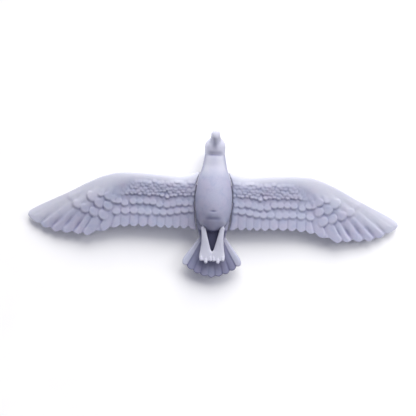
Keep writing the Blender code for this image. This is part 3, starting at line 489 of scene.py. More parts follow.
# ---- trunk and rump
def oval(y, half, top, bottom, widest, steps):
    """Rings of the body along y: an oval, squarer on the back, cut flat at z = 0."""
    angle = np.linspace(0, 2 * math.pi, steps, endpoint=False)[None, :]
    c, s = np.cos(angle), np.sin(angle)
    n = np.where(s > 0, 2.0, BACK_POWER)
    x = half[:, None] * np.sign(c) * np.abs(c) ** (2 / n)
    reach = np.where(s > 0, (top - widest)[:, None], (widest - bottom)[:, None])
    z = widest[:, None] + reach * np.sign(s) * np.abs(s) ** (2 / n)
    return np.stack([x, y[:, None] + 0 * x, z], axis=-1)


def trunk_grid(inset, rear, front, rings, steps):
    """The trunk, drawn in by inset for its inside, or grown by it where inset is negative."""
    y = np.linspace(rear, front, rings)
    widest = profile(TRUNK_WIDEST, y)
    bottom = profile(TRUNK_BOTTOM, y)
    if inset > 0:
        bottom = np.maximum(bottom, 0.0)
    half = np.maximum(profile(TRUNK_HALF, y) - inset, 0.15)
    top = np.maximum(profile(TRUNK_TOP, y) - inset, widest + 0.3)
    return oval(y, half, top, np.minimum(bottom + inset, widest - 0.3), widest, steps)


def rump_grid(rings, steps):
    """The flatter rump that carries the tail, behind and under the trunk."""
    y = np.linspace(RUMP_REAR_Y, RUMP_FRONT_Y, rings)
    top, bottom = profile(RUMP_TOP, y), profile(RUMP_BOTTOM, y)
    return oval(y, profile(RUMP_HALF, y), top, bottom, 0.5 * (top + bottom), steps)


def back_feathers():
    """Small contour feathers over the back, larger towards the rump; rear rows first."""
    jitter = np.random.default_rng(23)
    feathers = []
    line = RUMP_REAR_Y + 0.3
    while line < 12.5:
        size = 0.62 + 0.25 * math.exp(-(((line + 2) / 5) ** 2))
        shift = 0.5 * (len(feathers) % 2)
        for x in np.arange(-5.5 + shift * size, 5.6, 1.85 * size):
            tip = (x + jitter.uniform(-0.1, 0.1), line + jitter.uniform(-0.1, 0.1))
            feathers.append((tip[0], tip[1] + 3.2 * size, tip[0], tip[1], size))
        line += 1.35 * size
    return feathers


def sculpt_body(grid):
    """Add the belly's soft creases and the back's feathers, along lines out from the body's axis."""
    x, y, z = grid[..., 0], grid[..., 1], grid[..., 2]
    relief = np.zeros_like(x)
    for feather in back_feathers():
        lay_feather(relief, x, y, feather, lift=0.18, crown=0.05, blunt=0.95)
    under, pad = smooth((3.6 - z) / 1.6), smooth((z - 0.02) / 0.5)
    relief = relief * under * pad
    over = smooth((z - 6.0) / 1.5)
    crease = over * np.exp(-(((y + 1.95) / 0.33) ** 2) - (x / 0.9) ** 2)
    band = over * np.exp(-(((y + 4.0) / 0.55) ** 2) - (x / 2.1) ** 4)
    throat = over * throat_mark(x, y)
    thigh = smooth((z - 5.0) / 1.5) * np.exp(-(((np.abs(x) - 3.1) / 1.0) ** 2) - ((y + 5.4) / 1.3) ** 2)
    relief = relief - 0.10 * crease - 0.14 * band - 0.3 * throat + 0.35 * thigh
    out = grid - np.stack([0 * x, y, 0 * x + HINGE_Z], axis=-1)
    out /= np.maximum(np.linalg.norm(out, axis=-1, keepdims=True), 1e-6)
    shaped = grid + out * relief[..., None]
    shaped[..., 2] = np.maximum(shaped[..., 2], 0.0)
    # Painted shadow behind the trunk, between the legs, where the rump lies in deep shade; painted highlight
    # on the neck.
    hidden = smooth((-6.9 - y) / 1.0) * smooth((z - 3.6) / 0.8)
    neck = over * smooth((y - 6.5) / 4.5) * (0.45 + 0.45 * smooth(np.abs(x) / 2.6)) * (1 - throat)
    # Painted shade in grooves, crease, band and throat; painted highlight where the relief stands out.
    groove, ridge = relief_attributes(relief, 16, 0.07)
    groove = np.clip(groove + 0.4 * crease + 0.35 * band + 0.42 * throat, 0, 1)
    return shaped, groove * (1 - hidden) + 1.6 * hidden, (1 - hidden) * np.maximum(ridge, neck)


def throat_mark(x, y):
    """Where the soft groove of the throat lies, on both sides of the neck seam."""
    return np.exp(-(((y - NECK_SEAM_Y - 0.1) / 0.75) ** 2) - (x / 2.3) ** 4)


def body_skin(name, grid, sculpted=True):
    """Closed object over a grid of rings, with or without the body's relief."""
    if not sculpted:
        return add_piece(name, grid.reshape(-1, 3), ring_faces(*grid.shape[:2]))
    shaped, groove, ridge = sculpt_body(grid)
    return add_piece(name, shaped.reshape(-1, 3), ring_faces(*grid.shape[:2]), groove, ridge)


def leg_grid(grow, rear, front, side, rings, around):
    """One leg with its half of the webs, grown all round for the notch it lies in."""
    y = np.linspace(rear, front, rings)[:, None]
    angle = np.linspace(0, 2 * math.pi, around, endpoint=False)[None, :]
    outer, inner = profile(LEG_OUTER, y) + grow, profile(LEG_INNER, y) - grow
    c, s = (np.sign(v) * np.abs(v) ** LEG_ROUNDNESS for v in (np.cos(angle), np.sin(angle)))
    x = 0.5 * (outer + inner) + 0.5 * (outer - inner) * c
    z = profile(LEG_LEVEL, y) + (profile(LEG_HALF_T, y) + grow) * s
    return np.stack([side * x, y + 0 * angle, z], axis=-1)


def round_front(grid, radius):
    """Round the seam edge of the trunk's front end."""
    last = grid[-1].copy()
    centre = last.mean(axis=0)
    added = []
    for angle in np.linspace(0, math.pi / 2, 6)[1:]:
        ring = centre + (last - centre) * (1 - radius * (1 - math.cos(angle)) / 3.0)
        ring[:, 1] = last[0, 1] - radius + radius * math.sin(angle)
        added.append(ring)
    grid[-1, :, 1] -= radius
    return np.concatenate([grid, np.array(added)])


def trunk_skin(name):
    """The whole outside of the trunk, before it is parted into two shells."""
    grid = trunk_grid(0.0, TRUNK_REAR_Y, NECK_SEAM_Y - SEAM_SETBACK, count(230), count(200))
    return body_skin(name, round_front(grid, SEAM_ROUNDING))


def trunk_slab(low_z, high_z):
    """Box that takes in the whole trunk between two levels."""
    return box((-9, -9, low_z), (9, 16, high_z))


def cavity():
    return body_skin("tool", trunk_grid(WALL, -6.5, 13.9 - WALL, 40, 48), False)


def bosses(lower):
    """Screw bosses inside the back shell (lower) or the belly shell, with their holes."""
    hole_r = SCREW_R + RUN_GAP
    steps = []
    for y, seat in SHELL_SCREWS.values():
        reach = y + np.linspace(-BACK_BOSS_R, BACK_BOSS_R, 11)
        floor = max(float(profile(TRUNK_BOTTOM, reach).max()), 0.0) + 0.5 * WALL
        roof = float(profile(TRUNK_TOP, reach).min()) - 0.5 * WALL
        low, high = (floor, PARTING_Z - 0.05) if lower else (PARTING_Z + SHELL_GAP, roof)
        steps += join(rod((0, y, low), (0, y, high), BACK_BOSS_R if lower else BELLY_BOSS_R))
        steps += cut(rod((0, y, seat - 0.3), (0, y, SHELL_HOLE_TOP_Z), hole_r))
        if lower:
            steps += cut(rod((0, y, -1), (0, y, seat), SHELL_WELL_R))
    for y in FRAME_SCREWS.values() if lower else ():
        floor = max(float(profile(TRUNK_BOTTOM, y)), 0.0) + 0.5 * WALL
        steps += join(rod((0, y, floor), (0, y, FRAME_BOSS_TOP_Z), FRAME_BOSS_R))
        steps += cut(rod((0, y, floor + 0.35), (0, y, 3), hole_r))
    return steps


def windows_and_legs():
    """Cuts for the wing windows and for the notches that the legs lie in."""
    steps = []
    low_y, high_y = TONGUE_Y[0] - WINDOW_MARGIN, TONGUE_Y[1] + WINDOW_MARGIN
    for side in (1, -1):
        low_x, high_x = sorted(side * x for x in WINDOW_X)
        steps += cut(box((low_x, low_y, WINDOW_Z[0]), (high_x, high_y, WINDOW_Z[1])),
                     body_skin("tool", leg_grid(0.1, -15.9, -6.3, side, 40, 32), False))
    return steps


def make_shells():
    """Back shell with the rump, and belly shell, parted at one level and hollow inside."""
    grown = body_skin("tool", trunk_grid(-0.1, TRUNK_REAR_Y, 13.0, 80, 96), False)
    carve(grown, cut(trunk_slab(-3, PARTING_Z + SHELL_GAP)))
    rump = carve(body_skin("rump", rump_grid(count(150), count(170))), cut(grown))
    rump_relief = read_relief(rump)
    tail = cut(box((-9, -16, TAIL_SLOT_Z[0]), (9, TAIL_SLOT_Y, TAIL_SLOT_Z[1])),
               rod((0, TAIL_SCREW_Y, 1.5), (0, TAIL_SCREW_Y, 4.65), SCREW_R + RUN_GAP),
               rod((0, TAIL_SCREW_Y, -1), (0, TAIL_SCREW_Y, 1.9), 0.95))
    steps = cut(trunk_slab(PARTING_Z, 14)) + join(rump) + cut(cavity()) + bosses(True) + windows_and_legs()
    back = carve(trunk_skin("back_shell_skin"), steps + tail)
    carry_relief(back, *rump_relief)
    shade(back)
    level = float(profile(LEG_LEVEL, LEG_ROOT_Y))
    sockets = cut(*[rod((side * PEG_X, -6.9, level), (side * PEG_X, -5.2, level), SOCKET_R)
                    for side in (1, -1)])
    neck = cut(rod((0, 12.5, NECK_Z), (0, 14.5, NECK_Z), SCREW_R + 0.1))
    steps = cut(trunk_slab(-3, PARTING_Z + SHELL_GAP), cavity()) + bosses(False) + windows_and_legs()
    belly = carve(trunk_skin("belly_shell_skin"), steps + sockets + neck)
    shade(belly)
    return back, belly


# ---- head
def blend_min(a, b, k):
    """The smaller of two distances, melted together where they differ by less than k."""
    h = np.clip(0.5 + 0.5 * (b - a) / k, 0, 1)
    return b * (1 - h) + a * h - k * h * (1 - h)


def cone_distance(p, start, end, start_r, end_r):
    """Distance to a rod with round ends whose radius changes along it."""
    start, end = np.array(start, dtype=float), np.array(end, dtype=float)
    along = end - start
    t = np.clip(((p - start) @ along) / (along @ along), 0, 1)
    return np.linalg.norm(p - start - t[:, None] * along, axis=1) - (start_r + (end_r - start_r) * t)


def beak_marks(p):
    """Depth of the gape line along both sides of the beak and of the two nostrils."""
    axis = np.array(BEAK_TIP, dtype=float) - BEAK_BASE
    axis /= np.linalg.norm(axis)
    rel = p - BEAK_BASE
    along = rel @ axis
    front = rel @ np.array([0, axis[2], -axis[1]])
    ends = smooth((along - 0.9) / 0.8) * smooth((3.6 - along) / 0.8) * smooth((np.abs(p[:, 0]) - 0.55) / 0.3)
    gape = 0.03 * np.exp(-(((front + 0.35) / 0.14) ** 2)) * ends
    return gape + 0.02 * np.exp(-(((along - 2.4) / 0.42) ** 2) - (((front - 0.62) / 0.17) ** 2))


def head_distance(p):
    """Signed distance of the head: skull, beak, eyes, and the flat neck face."""
    mirrored = np.abs(p) * [1, 0, 0] + p * [0, 1, 1]
    beak = blend_min(cone_distance(p, *BEAK), cone_distance(p, *KEEL), 0.7)
    shape = blend_min(cone_distance(p, *SKULL), beak, 0.6)
    from_eye = np.linalg.norm(mirrored - EYE, axis=1)
    shape = shape + 0.11 * np.exp(-(((from_eye - EYE_RING_R) / 0.13) ** 2))
    ball = np.linalg.norm(mirrored - (EYE[0] - EYE_DEPTH, EYE[1], EYE[2]), axis=1) - EYE_R
    shape = blend_min(shape, ball, 0.08)
    chin = 0.3 * throat_mark(p[:, 0], p[:, 1]) * smooth((p[:, 2] - 6.0) / 1.5)
    return -blend_min(-shape - chin, p[:, 1] - NECK_SEAM_Y - SEAM_SETBACK, SEAM_ROUNDING)


def make_head():
    """Points of a fine ball, moved along their rays to the head's surface and pressed in at the marks."""
    bm = bmesh.new()
    bmesh.ops.create_icosphere(bm, subdivisions=7, radius=1.0)
    rays = np.array([v.co[:] for v in bm.verts])
    faces = [[v.index for v in f.verts] for f in bm.faces]
    bm.free()
    centre = np.array(HEAD_CENTRE)
    near, far = np.zeros(len(rays)), np.full(len(rays), 8.0)
    for _ in range(26):
        middle = 0.5 * (near + far)
        inside = head_distance(centre + rays * middle[:, None]) < 0
        near, far = np.where(inside, middle, near), np.where(inside, far, middle)
    points = centre + rays * near[:, None]
    steps = 0.02 * np.eye(3)
    slope = np.stack([head_distance(points + step) - head_distance(points - step) for step in steps], 1)
    points -= beak_marks(points)[:, None] * slope / np.linalg.norm(slope, axis=1, keepdims=True)
    # Painted highlight towards the front and belly side of the head; painted shade in the throat's groove.
    pale = 0.5 * smooth((points @ (0, 0.6, 0.8) - 16.8) / 1.6)
    throat = throat_mark(points[:, 0], points[:, 1]) * smooth((points[:, 2] - 6.0) / 1.5)
    head = add_piece("head_skin", points, faces, 0.42 * throat, pale, 70)
    carve(head, cut(rod((0, 13.5, NECK_Z), (0, 16.8, NECK_Z), SCREW_R + RUN_GAP)))
    shade(head, 50)
    return head


# ---- tail
def make_tail():
    """Fan of overlapping feathers on a grid of angle and distance from the pivot."""
    around, rows = count(300), count(130)
    limit = math.radians(TAIL_HALF_ANGLE)
    angle = np.linspace(-limit, limit, around)[:, None]
    place = (angle + limit) / (2 * limit) * TAIL_FEATHERS
    phase = place % 1.0
    notch = 0.5 * np.abs(2 * phase - 1) ** 1.8
    outer = np.clip(1 - (limit - np.abs(angle)) / math.radians(3.6), 0, 1)
    ends = np.sqrt(1 - outer**2)
    tip_r = profile(TAIL_TIP_R, np.abs(np.degrees(angle))) - notch - 1.4 * (1 - ends)
    root_r = (TAIL_PIVOT_Y - TAIL_SLOT_Y + 0.12) / np.cos(angle)
    share = np.linspace(0, 1, rows)[None, :]
    r = root_r + (tip_r - root_r) * share
    x, y = r * np.sin(angle), TAIL_PIVOT_Y - r * np.cos(angle)
    raised = 0.9 * np.clip(np.abs(x) - 3.2, 0, None) ** 1.3 / 5.2**1.3
    middle = 3.1 + raised
    half_t = 0.42 - 0.2 * smooth((r - 9) / (tip_r - 9))
    reliefs = []
    order = sorted(range(TAIL_FEATHERS), key=lambda n: abs(n - (TAIL_FEATHERS - 1) / 2))
    for sequence, over in ((order, 1), (order[::-1], -1)):
        relief = np.zeros_like(x)
        for n in sequence:
            a = -limit + 2 * limit * (n + 0.5) / TAIL_FEATHERS
            reach = float(profile(TAIL_TIP_R, abs(math.degrees(a))))
            tip = (reach * math.sin(a), TAIL_PIVOT_Y - reach * math.cos(a))
            base = (5.0 * math.sin(a), TAIL_PIVOT_Y - 5.0 * math.cos(a))
            beyond = (1.04 * tip[0], TAIL_PIVOT_Y + 1.04 * (tip[1] - TAIL_PIVOT_Y))
            slant = -0.28 * over * np.sign(round(a, 6))
            lay_feather(relief, x, y, (*base, *beyond, 1.3), lift=0.1, crown=0.2, slant=slant, edge=0.3,
                        soft=0.15, fade=3.0)
        reliefs.append(soften(relief, 8) * smooth((r - 6.5) / 2))
    rim = np.sqrt(np.clip(1 - smooth((share - 0.975) / 0.025) ** 2, 0.08, 1)) * (0.25 + 0.75 * ends)
    top = middle + half_t * rim + reliefs[0] * rim - 0.1
    low = middle - half_t * rim - 0.8 * reliefs[1] * rim + 0.08
    low = np.minimum(low, top - 0.05)
    # Painted shade in the fan's grooves and painted highlight where feathers stand out.
    marks = [relief_attributes(relief) for relief in reliefs]
    pairs = ((x, x), (y, y), (top, low), *zip(*marks))
    *ring, groove, ridge = (np.concatenate([over, under[:, ::-1]], axis=1) for over, under in pairs)
    # Painted shade on all but the outermost feather on each side, and painted highlight on the outermost.
    outermost = smooth((np.abs(angle) - math.radians(27.8)) / math.radians(1.4))
    groove = np.clip(groove + (0.42 + 0.25 * smooth(np.abs(ring[0]) / 4.5)) * (1 - outermost), 0, 1)
    ridge = np.maximum(ridge, 0.35 * outermost)
    points = np.stack(ring, axis=-1).reshape(-1, 3)
    tail = add_piece("tail_fan_skin", points, ring_faces(*ring[0].shape), groove, ridge, 60)
    carve(tail, cut(rod((0, TAIL_SCREW_Y, 1), (0, TAIL_SCREW_Y, 5), SCREW_R + RUN_GAP)))
    shade(tail, 60)
    return tail


# ---- legs and feet
def make_legs():
    """Legs, webs, toes and pegs, melted into one casting by a voxel remesh done at 1000 times size."""
    parts = []
    for side in (1, -1):
        parts.append(body_skin("leg", leg_grid(0.0, LEG_REAR_Y, LEG_ROOT_Y, side, 90, 48), False))
        level = float(profile(LEG_LEVEL, LEG_ROOT_Y))
        parts.append(rod((side * PEG_X, -7.2, level), (side * PEG_X, -5.34, level), PEG_R))
        for toe_x, tip_y in TOES:
            x, z = side * toe_x, float(profile(LEG_LEVEL, -15.0)) + TOE_LIFT
            for start, end, radius in ((-13.6, tip_y + 1.2, 0.44), (tip_y + 1.3, tip_y + 0.45, 0.5)):
                parts.append(rod((x, start, z), (x, end, z), radius, 24))
            bm = bmesh.new()
            bmesh.ops.create_uvsphere(bm, u_segments=24, v_segments=16, radius=0.52 * MM)
            bmesh.ops.translate(bm, verts=bm.verts, vec=Vector((x, tip_y + 0.5, z)) * MM)
            parts.append(from_bmesh(bm))
    legs = parts[0]
    legs.name = "legs_and_feet_skin"
    bm = bmesh.new()
    for part in parts:
        bm.from_mesh(part.data)
    bmesh.ops.scale(bm, vec=(1 / MM, 1 / MM, 1 / MM), verts=bm.verts)
    bm.to_mesh(legs.data)
    bm.free()
    for part in parts[1:]:
        bpy.data.objects.remove(part)
    melt = legs.modifiers.new("melt", "REMESH")
    melt.mode = "VOXEL"
    melt.voxel_size = 0.07
    soft = legs.modifiers.new("soft", "SMOOTH")
    soft.factor = 0.5
    soft.iterations = 5
    mesh = bpy.data.meshes.new_from_object(legs.evaluated_get(bpy.context.evaluated_depsgraph_get()))
    legs.modifiers.clear()
    mesh.transform(((MM, 0, 0, 0), (0, MM, 0, 0), (0, 0, MM, 0), (0, 0, 0, 1)))
    legs.data = mesh
    shade(legs, 60)
    return legs


# ---- hardware
def make_screw(name, seat, direction, length, head_r=0.85, head_t=0.5, shank_r=SCREW_R):
    """Turned pan-head screw with a rolled-thread look and a cross recess cut into its head."""
    seat, direction = np.array(seat, dtype=float), np.array(direction, dtype=float)
    side = np.array(Vector(direction).orthogonal().normalized())
    other = np.cross(direction, side)
    dome = [(-head_t * math.sin(angle), head_r * (0.55 + 0.45 * math.cos(angle)))
            for angle in np.linspace(math.pi / 2, 0.15, 8)]
    outline = [(-head_t, 0.02)] + dome + [(-0.02, head_r), (0.0, head_r - 0.03), (0.0, shank_r)]
    pitch = 0.25
    turns = int((length - 0.3) / pitch)
    for n in range(turns):
        start, root_r = 0.12 + n * pitch, shank_r - 0.07
        outline += [(start, shank_r), (start + 0.4 * pitch, root_r), (start + 0.6 * pitch, root_r)]
    outline += [(length - 0.2, shank_r), (length, shank_r * 0.35), (length + 0.001, 0.02)]
    angle = np.linspace(0, 2 * math.pi, 40, endpoint=False)
    around = np.cos(angle)[:, None] * side + np.sin(angle)[:, None] * other
    points = np.concatenate([seat + direction * a + around * r for a, r in outline])
    screw = add_piece(f"{name}_turned", points, ring_faces(len(outline), 40), sharp_deg=35)
    top = seat - direction * head_t
    slots = []
    for along, across in ((side, other), (other, side)):
        corners = [top + s * along * 0.48 + t * across * 0.1 + u * direction
                   for s in (-1, 1) for t in (-1, 1) for u in (-0.3, 0.26)]
        slots.append(box(np.min(corners, axis=0).tolist(), np.max(corners, axis=0).tolist()))
    carve(screw, cut(*slots))
    shade(screw, 35)
    return screw


def make_spring(name, side):
    """Round-wire torsion spring on a smooth helix, with its two straight legs."""
    coil_r, wire_r, turns, low_y, high_y = 0.8, 0.17, 3.25, 1.78, 3.05
    fixed_leg_z, free_leg = (7.15, 5.6), 1.6
    points = [(HINGE_X - coil_r, low_y, z) for z in fixed_leg_z]
    steps = 130
    for k in range(steps + 1):
        angle = math.pi + 2 * math.pi * turns * k / steps
        points.append((HINGE_X + coil_r * math.cos(angle), low_y + (high_y - low_y) * k / steps,
                       HINGE_Z + coil_r * math.sin(angle)))
    points.append((HINGE_X + free_leg, high_y, points[-1][2]))
    curve = bpy.data.curves.new(f"{name}_wire", "CURVE")
    curve.dimensions = "3D"
    curve.bevel_depth = wire_r * MM
    curve.bevel_resolution = 4
    curve.use_fill_caps = True
    spline = curve.splines.new("POLY")
    spline.points.add(len(points) - 1)
    for point, (x, y, z) in zip(spline.points, points):
        point.co = (side * x * MM, y * MM, z * MM, 1.0)
    return new_object(f"{name}_wire", curve)


# ---- materials
class Nodes:
    """Short spelling for building a material's node tree."""

    def __init__(self, name):
        self.material = bpy.data.materials.new(name)
        self.material.use_nodes = True
        self.tree = self.material.node_tree
        self.shader = self.tree.nodes["Principled BSDF"]
        place = self.tree.nodes.new("ShaderNodeTexCoord")
        scale = self.tree.nodes.new("ShaderNodeVectorMath")
        scale.operation = "SCALE"
        scale.inputs["Scale"].default_value = 1 / MM
        self.link(place.outputs["Object"], scale.inputs[0])
        self.place = scale.outputs[0]

    def link(self, a, b):
        self.tree.links.new(a, b)

    def put(self, value, socket):
        """Give a socket a constant, or link it to another node's output."""
        if isinstance(value, bpy.types.NodeSocket):
            self.link(value, socket)
        else:
            socket.default_value = value

    def surface(self, settings):
        """Set the shader's inputs by name and give back the finished material."""
        for name, value in settings.items():
            self.put(value, self.shader.inputs[name])
        return self.material

    def noise(self, scale, detail=4.0, roughness=0.55):
        made = self.tree.nodes.new("ShaderNodeTexNoise")
        made.inputs["Scale"].default_value = scale
        made.inputs["Detail"].default_value = detail
        made.inputs["Roughness"].default_value = roughness
        self.link(self.place, made.inputs["Vector"])
        return made.outputs["Fac"]

    def attribute(self, name):
        made = self.tree.nodes.new("ShaderNodeAttribute")
        made.attribute_name = name
        return made.outputs["Fac"]

    def spread(self, value, low, high, to_low, to_high):
        made = self.tree.nodes.new("ShaderNodeMapRange")
        for title, number in (("From Min", low), ("From Max", high), ("To Min", to_low), ("To Max", to_high)):
            made.inputs[title].default_value = number
        self.link(value, made.inputs["Value"])
        return made.outputs["Result"]

    def mix(self, share, a, b):
        made = self.tree.nodes.new("ShaderNodeMix")
        made.data_type = "RGBA"
        for socket, value in ((made.inputs[0], share), (made.inputs[6], a), (made.inputs[7], b)):
            self.put(value, socket)
        return made.outputs[2]

    def cloud(self, a, b, scale, low, high, most=1.0, detail=4.0):
        """Colour a, drifting towards b in soft patches."""
        return self.mix(self.spread(self.noise(scale, detail), low, high, 0.0, most), a, b)

    def bump(self, height, strength, distance, onto=None):
        made = self.tree.nodes.new("ShaderNodeBump")
        made.inputs["Strength"].default_value = strength
        made.inputs["Distance"].default_value = distance * MM
        self.link(height, made.inputs["Height"])
        if onto is not None:
            self.link(onto, made.inputs["Normal"])
        return made.outputs["Normal"]


# The resin's pigment and its clouds, the painted shade for grooves (also a faint dark speckle), the
# near-black painted shadow for deep shade, and the painted light and painted highlight tones.
RESIN = (0.325, 0.345, 0.455, 1.0)
RESIN_WARM = (0.36, 0.345, 0.455, 1.0)
RESIN_COOL = (0.255, 0.285, 0.415, 1.0)
RESIN_SHADE_AND_SPECKLE = (0.085, 0.088, 0.185, 1.0)
RESIN_PAINTED_SHADOW = (0.02, 0.02, 0.045, 1.0)
RESIN_PAINTED_LIGHT = (0.56, 0.565, 0.655)
RESIN_PAINTED_HIGHLIGHT = (0.60, 0.61, 0.665, 1.0)
STEEL = (0.60, 0.61, 0.63, 1.0)
STEEL_DARK = tuple(0.72 * c for c in STEEL[:3]) + (1.0,)


def resin(name, pale=0.0, painted_shade_level=1.0):
    """Cast lavender-grey resin: cloudy pigment, painted shade in the grooves, painted highlight on the edges.

    pale moves the pigment towards the painted-light tone, for a part painted as more brightly lit;
    the last argument scales its brightness, to paint a whole part in shade.
    """
    n = Nodes(name)
    base, warm, cool = (tuple(painted_shade_level * (c + pale * (p - c)) for c, p in zip(colour[:3], RESIN_PAINTED_LIGHT)) + (1.0,)
                        for colour in (RESIN, RESIN_WARM, RESIN_COOL))
    colour = n.cloud(base, warm, 0.22, 0.35, 0.7)
    colour = n.cloud(colour, cool, 0.6, 0.5, 0.72, 0.55, 3.0)
    colour = n.cloud(colour, RESIN_SHADE_AND_SPECKLE, 3.2, 0.45, 0.75, 0.08, 6.0)
    # Painted shade in grooves, painted shadow where groove passes 1, painted highlight where ridge is set.
    colour = n.mix(n.spread(n.attribute("groove"), 0.04, 1.0, 0.0, 0.88), colour, RESIN_SHADE_AND_SPECKLE)
    colour = n.mix(n.spread(n.attribute("groove"), 1.0, 2.0, 0.0, 0.9), colour, RESIN_PAINTED_SHADOW)
    colour = n.mix(n.spread(n.attribute("ridge"), 0.1, 0.9, 0.0, 0.6), colour, RESIN_PAINTED_HIGHLIGHT)
    layers = n.bump(n.noise(9.0, 3.0), 0.35, 0.02)
    return n.surface({
        "Base Color": colour,
        "Roughness": n.spread(n.noise(1.6), 0.3, 0.7, 0.55, 0.70),
        "Normal": n.bump(n.noise(28.0, 2.0), 0.25, 0.008, layers),
        "Subsurface Weight": 0.12,
        "Subsurface Radius": (0.0006, 0.0005, 0.0008),
        "Subsurface Scale": 1.0,
        "Specular IOR Level": 0.45,
    })


def steel(name):
    """Bright drawn steel with fine scratches."""
    n = Nodes(name)
    return n.surface({
        "Base Color": n.cloud(STEEL, STEEL_DARK, 5.0, 0.35, 0.75, detail=5.0),
        "Roughness": n.spread(n.noise(14.0, 4.0), 0.3, 0.7, 0.22, 0.42),
        "Normal": n.bump(n.noise(40.0, 2.0), 0.3, 0.004),
        "Metallic": 1.0,
    })


def nylon(name):
    """Dark moulded nylon."""
    n = Nodes(name)
    return n.surface({
        "Base Color": n.cloud((0.11, 0.11, 0.13, 1), (0.15, 0.15, 0.17, 1), 1.2, 0.3, 0.7),
        "Roughness": n.spread(n.noise(6.0), 0.3, 0.7, 0.4, 0.52),
        "Normal": n.bump(n.noise(22.0, 3.0), 0.3, 0.006),
        "Subsurface Weight": 0.1,
        "Subsurface Radius": (0.0005, 0.0005, 0.0004),
        "Subsurface Scale": 1.0,
    })


def paint(made, surface):
    """Make surface the object's only material."""
    made.data.materials.clear()
    made.data.materials.append(surface)


def place_piece(made, body, node, surface):
    """Give a new piece its material and the body it moves with, and hide the CAD node it stands for."""
    paint(made, surface)
    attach(made, body)
    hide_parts(node)


# ---- stage
def make_stage():
    """A pale round floor inside a pale dome, so that every view has a plain white ground."""
    radius = 3.0
    bm = bmesh.new()
    bmesh.ops.create_circle(bm, cap_ends=True, segments=96, radius=radius)
    floor = staged("floor", bm)
    n = Nodes("floor_paper")
    tone = n.cloud((0.91, 0.91, 0.92, 1), (0.94, 0.94, 0.94, 1), 0.05, 0.3, 0.7)
    paint(floor, n.surface({"Base Color": tone, "Roughness": 0.95, "Specular IOR Level": 0.1}))
    bm = bmesh.new()
    bmesh.ops.create_uvsphere(bm, u_segments=96, v_segments=48, radius=radius)
    bmesh.ops.delete(bm, geom=[v for v in bm.verts if v.co.z < -0.01], context="VERTS")
    dome = staged("backdrop", bm)
    n = Nodes("backdrop_paper")
    glow = n.cloud((0.95, 0.95, 0.96, 1), (0.97, 0.97, 0.97, 1), 0.001, 0.3, 0.7)
    paint(dome, n.surface({"Base Color": (0, 0, 0, 1), "Emission Color": glow, "Emission Strength": 1.0}))
    dome.visible_diffuse = dome.visible_glossy = dome.visible_shadow = dome.visible_transmission = False


def staged(name, bm):
    """Object of a finished bmesh, for the studio and not for the bird."""
    made = from_bmesh(bm, name)
    return made


def add_lamp(name, kind, direction, **settings):
    """Lamp that shines along a direction."""
    lamp = bpy.data.lights.new(name, kind)
    for title, value in settings.items():
        setattr(lamp, title, value)
    made = new_object(name, lamp)
    made.rotation_mode = "QUATERNION"
    made.rotation_quaternion = Vector(direction).to_track_quat("-Z", "Y")
    return made


def make_light():
    """Soft key from over the head, a weaker lamp at the left wing's side, and a faint bounce at the neck."""
    world = bpy.data.worlds.new("studio")
    world.use_nodes = True
    sky = world.node_tree.nodes["Background"]
    sky.inputs["Color"].default_value = (0.83, 0.84, 1.0, 1.0)
    sky.inputs["Strength"].default_value = 0.38
    bpy.context.scene.world = world
    add_lamp("key", "SUN", (-0.12, -0.82, -0.55), energy=3.75, angle=math.radians(46),
             color=(1.0, 0.985, 0.95))
    side = add_lamp("side", "AREA", (-0.14, -0.08, -0.16), shape="DISK", size=0.14, energy=0.21)
    side.location = (0.18, 0.08, 0.16)
    bounce = add_lamp("bounce", "AREA", (0.028, -0.023, -0.006), shape="DISK", size=0.02, energy=0.0045)
    bounce.location = (-0.028, 0.036, 0.012)
    bpy.context.scene.view_settings.view_transform = "Standard"


def make_camera():
    """Straight above the belly, turned a little, so that the wings nearly fill the frame."""
    frame_width, wing_plane, turn_deg = 118.06 * MM, 4.0 * MM, 1.8
    data = bpy.data.cameras.new("camera")
    data.lens, data.sensor_width = 100.0, 36.0
    data.clip_start, data.clip_end = 0.01, 5.0
    camera = new_object("camera", data)
    camera.location = (-1.53 * MM, -1.10 * MM, wing_plane + frame_width * data.lens / data.sensor_width)
    camera.rotation_euler = (0, 0, math.radians(turn_deg))
    bpy.context.scene.camera = camera


# ---- build
SEAT_GAP = 0.06


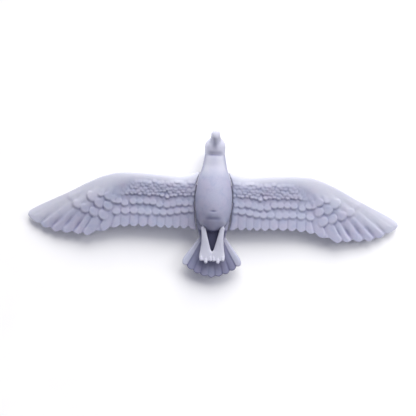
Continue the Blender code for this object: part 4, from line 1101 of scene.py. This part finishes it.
def place_wing(name, side, painted_shade_level):
    """A wing, the screw that holds it to its hub, and the spring that returns it."""
    surface = resin(f"resin_{name}_wing", painted_shade_level=painted_shade_level)
    place_piece(make_wing(f"{name}_wing", side), f"{name}_wing", f"{name}_wing", surface)
    seat = (side * WING_SCREW[0], WING_SCREW[1], WING_SEAT_Z - SEAT_GAP)
    screw = make_screw(f"{name}_wing_screw", seat, (0, 0, 1), 1.8, head_r=0.72, head_t=0.35, shank_r=0.4)
    place_piece(screw, f"{name}_wing", f"{name}_wing_screw", steel(f"steel_{name}_wing_screw"))
    spring = make_spring(f"{name}_return_spring", side)
    place_piece(spring, "body", f"{name}_return_spring", steel(f"steel_{name}_spring"))


def place_body_screws():
    """The trunk's screws, as (seat, direction, length), and the one that the head turns on."""
    screws = {f"shell_screw_{name}": ((0, y, seat - SEAT_GAP), (0, 0, 1), 6.3 - seat)
              for name, (y, seat) in SHELL_SCREWS.items()}
    screws |= {f"frame_screw_{name}": ((0, y, 2.86), (0, 0, -1), 1.7) for name, y in FRAME_SCREWS.items()}
    screws["tail_screw"] = ((0, TAIL_SCREW_Y, 1.84), (0, 0, 1), 2.7)
    for name, (seat, direction, length) in screws.items():
        place_piece(make_screw(name, seat, direction, length), "body", name, steel(f"steel_{name}"))
    neck = make_screw("neck_pivot_screw", (0, 12.74, NECK_Z), (0, 1, 0), 3.9)
    place_piece(neck, "head", "neck_pivot_screw", steel("steel_neck_screw"))


def main():
    make_camera()
    make_light()
    make_stage()
    back, belly = make_shells()
    place_piece(back, "body", "back_shell", resin("resin_back"))
    place_piece(belly, "body", "belly_shell", resin("resin_belly"))
    place_wing("left", 1, painted_shade_level=1.0)
    # Painted shade: the right wing's resin is a slightly darker copy.
    place_wing("right", -1, painted_shade_level=0.95)
    # Painted light: the head's and the legs' resin are lighter copies, as if more brightly lit.
    place_piece(make_head(), "head", "head", resin("resin_head", pale=0.6))
    place_piece(make_tail(), "body", "tail_fan", resin("resin_tail"))
    place_piece(make_legs(), "body", "legs_and_feet", resin("resin_legs", pale=1.0))
    place_body_screws()
    for node in ("hinge_frame", "left_hinge_pin", "right_hinge_pin", "neck_washer"):
        paint(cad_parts[node], steel(f"steel_{node}"))
    for node in ("left_wing_hub", "right_wing_hub"):
        paint(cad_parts[node], nylon(f"nylon_{node}"))


main()
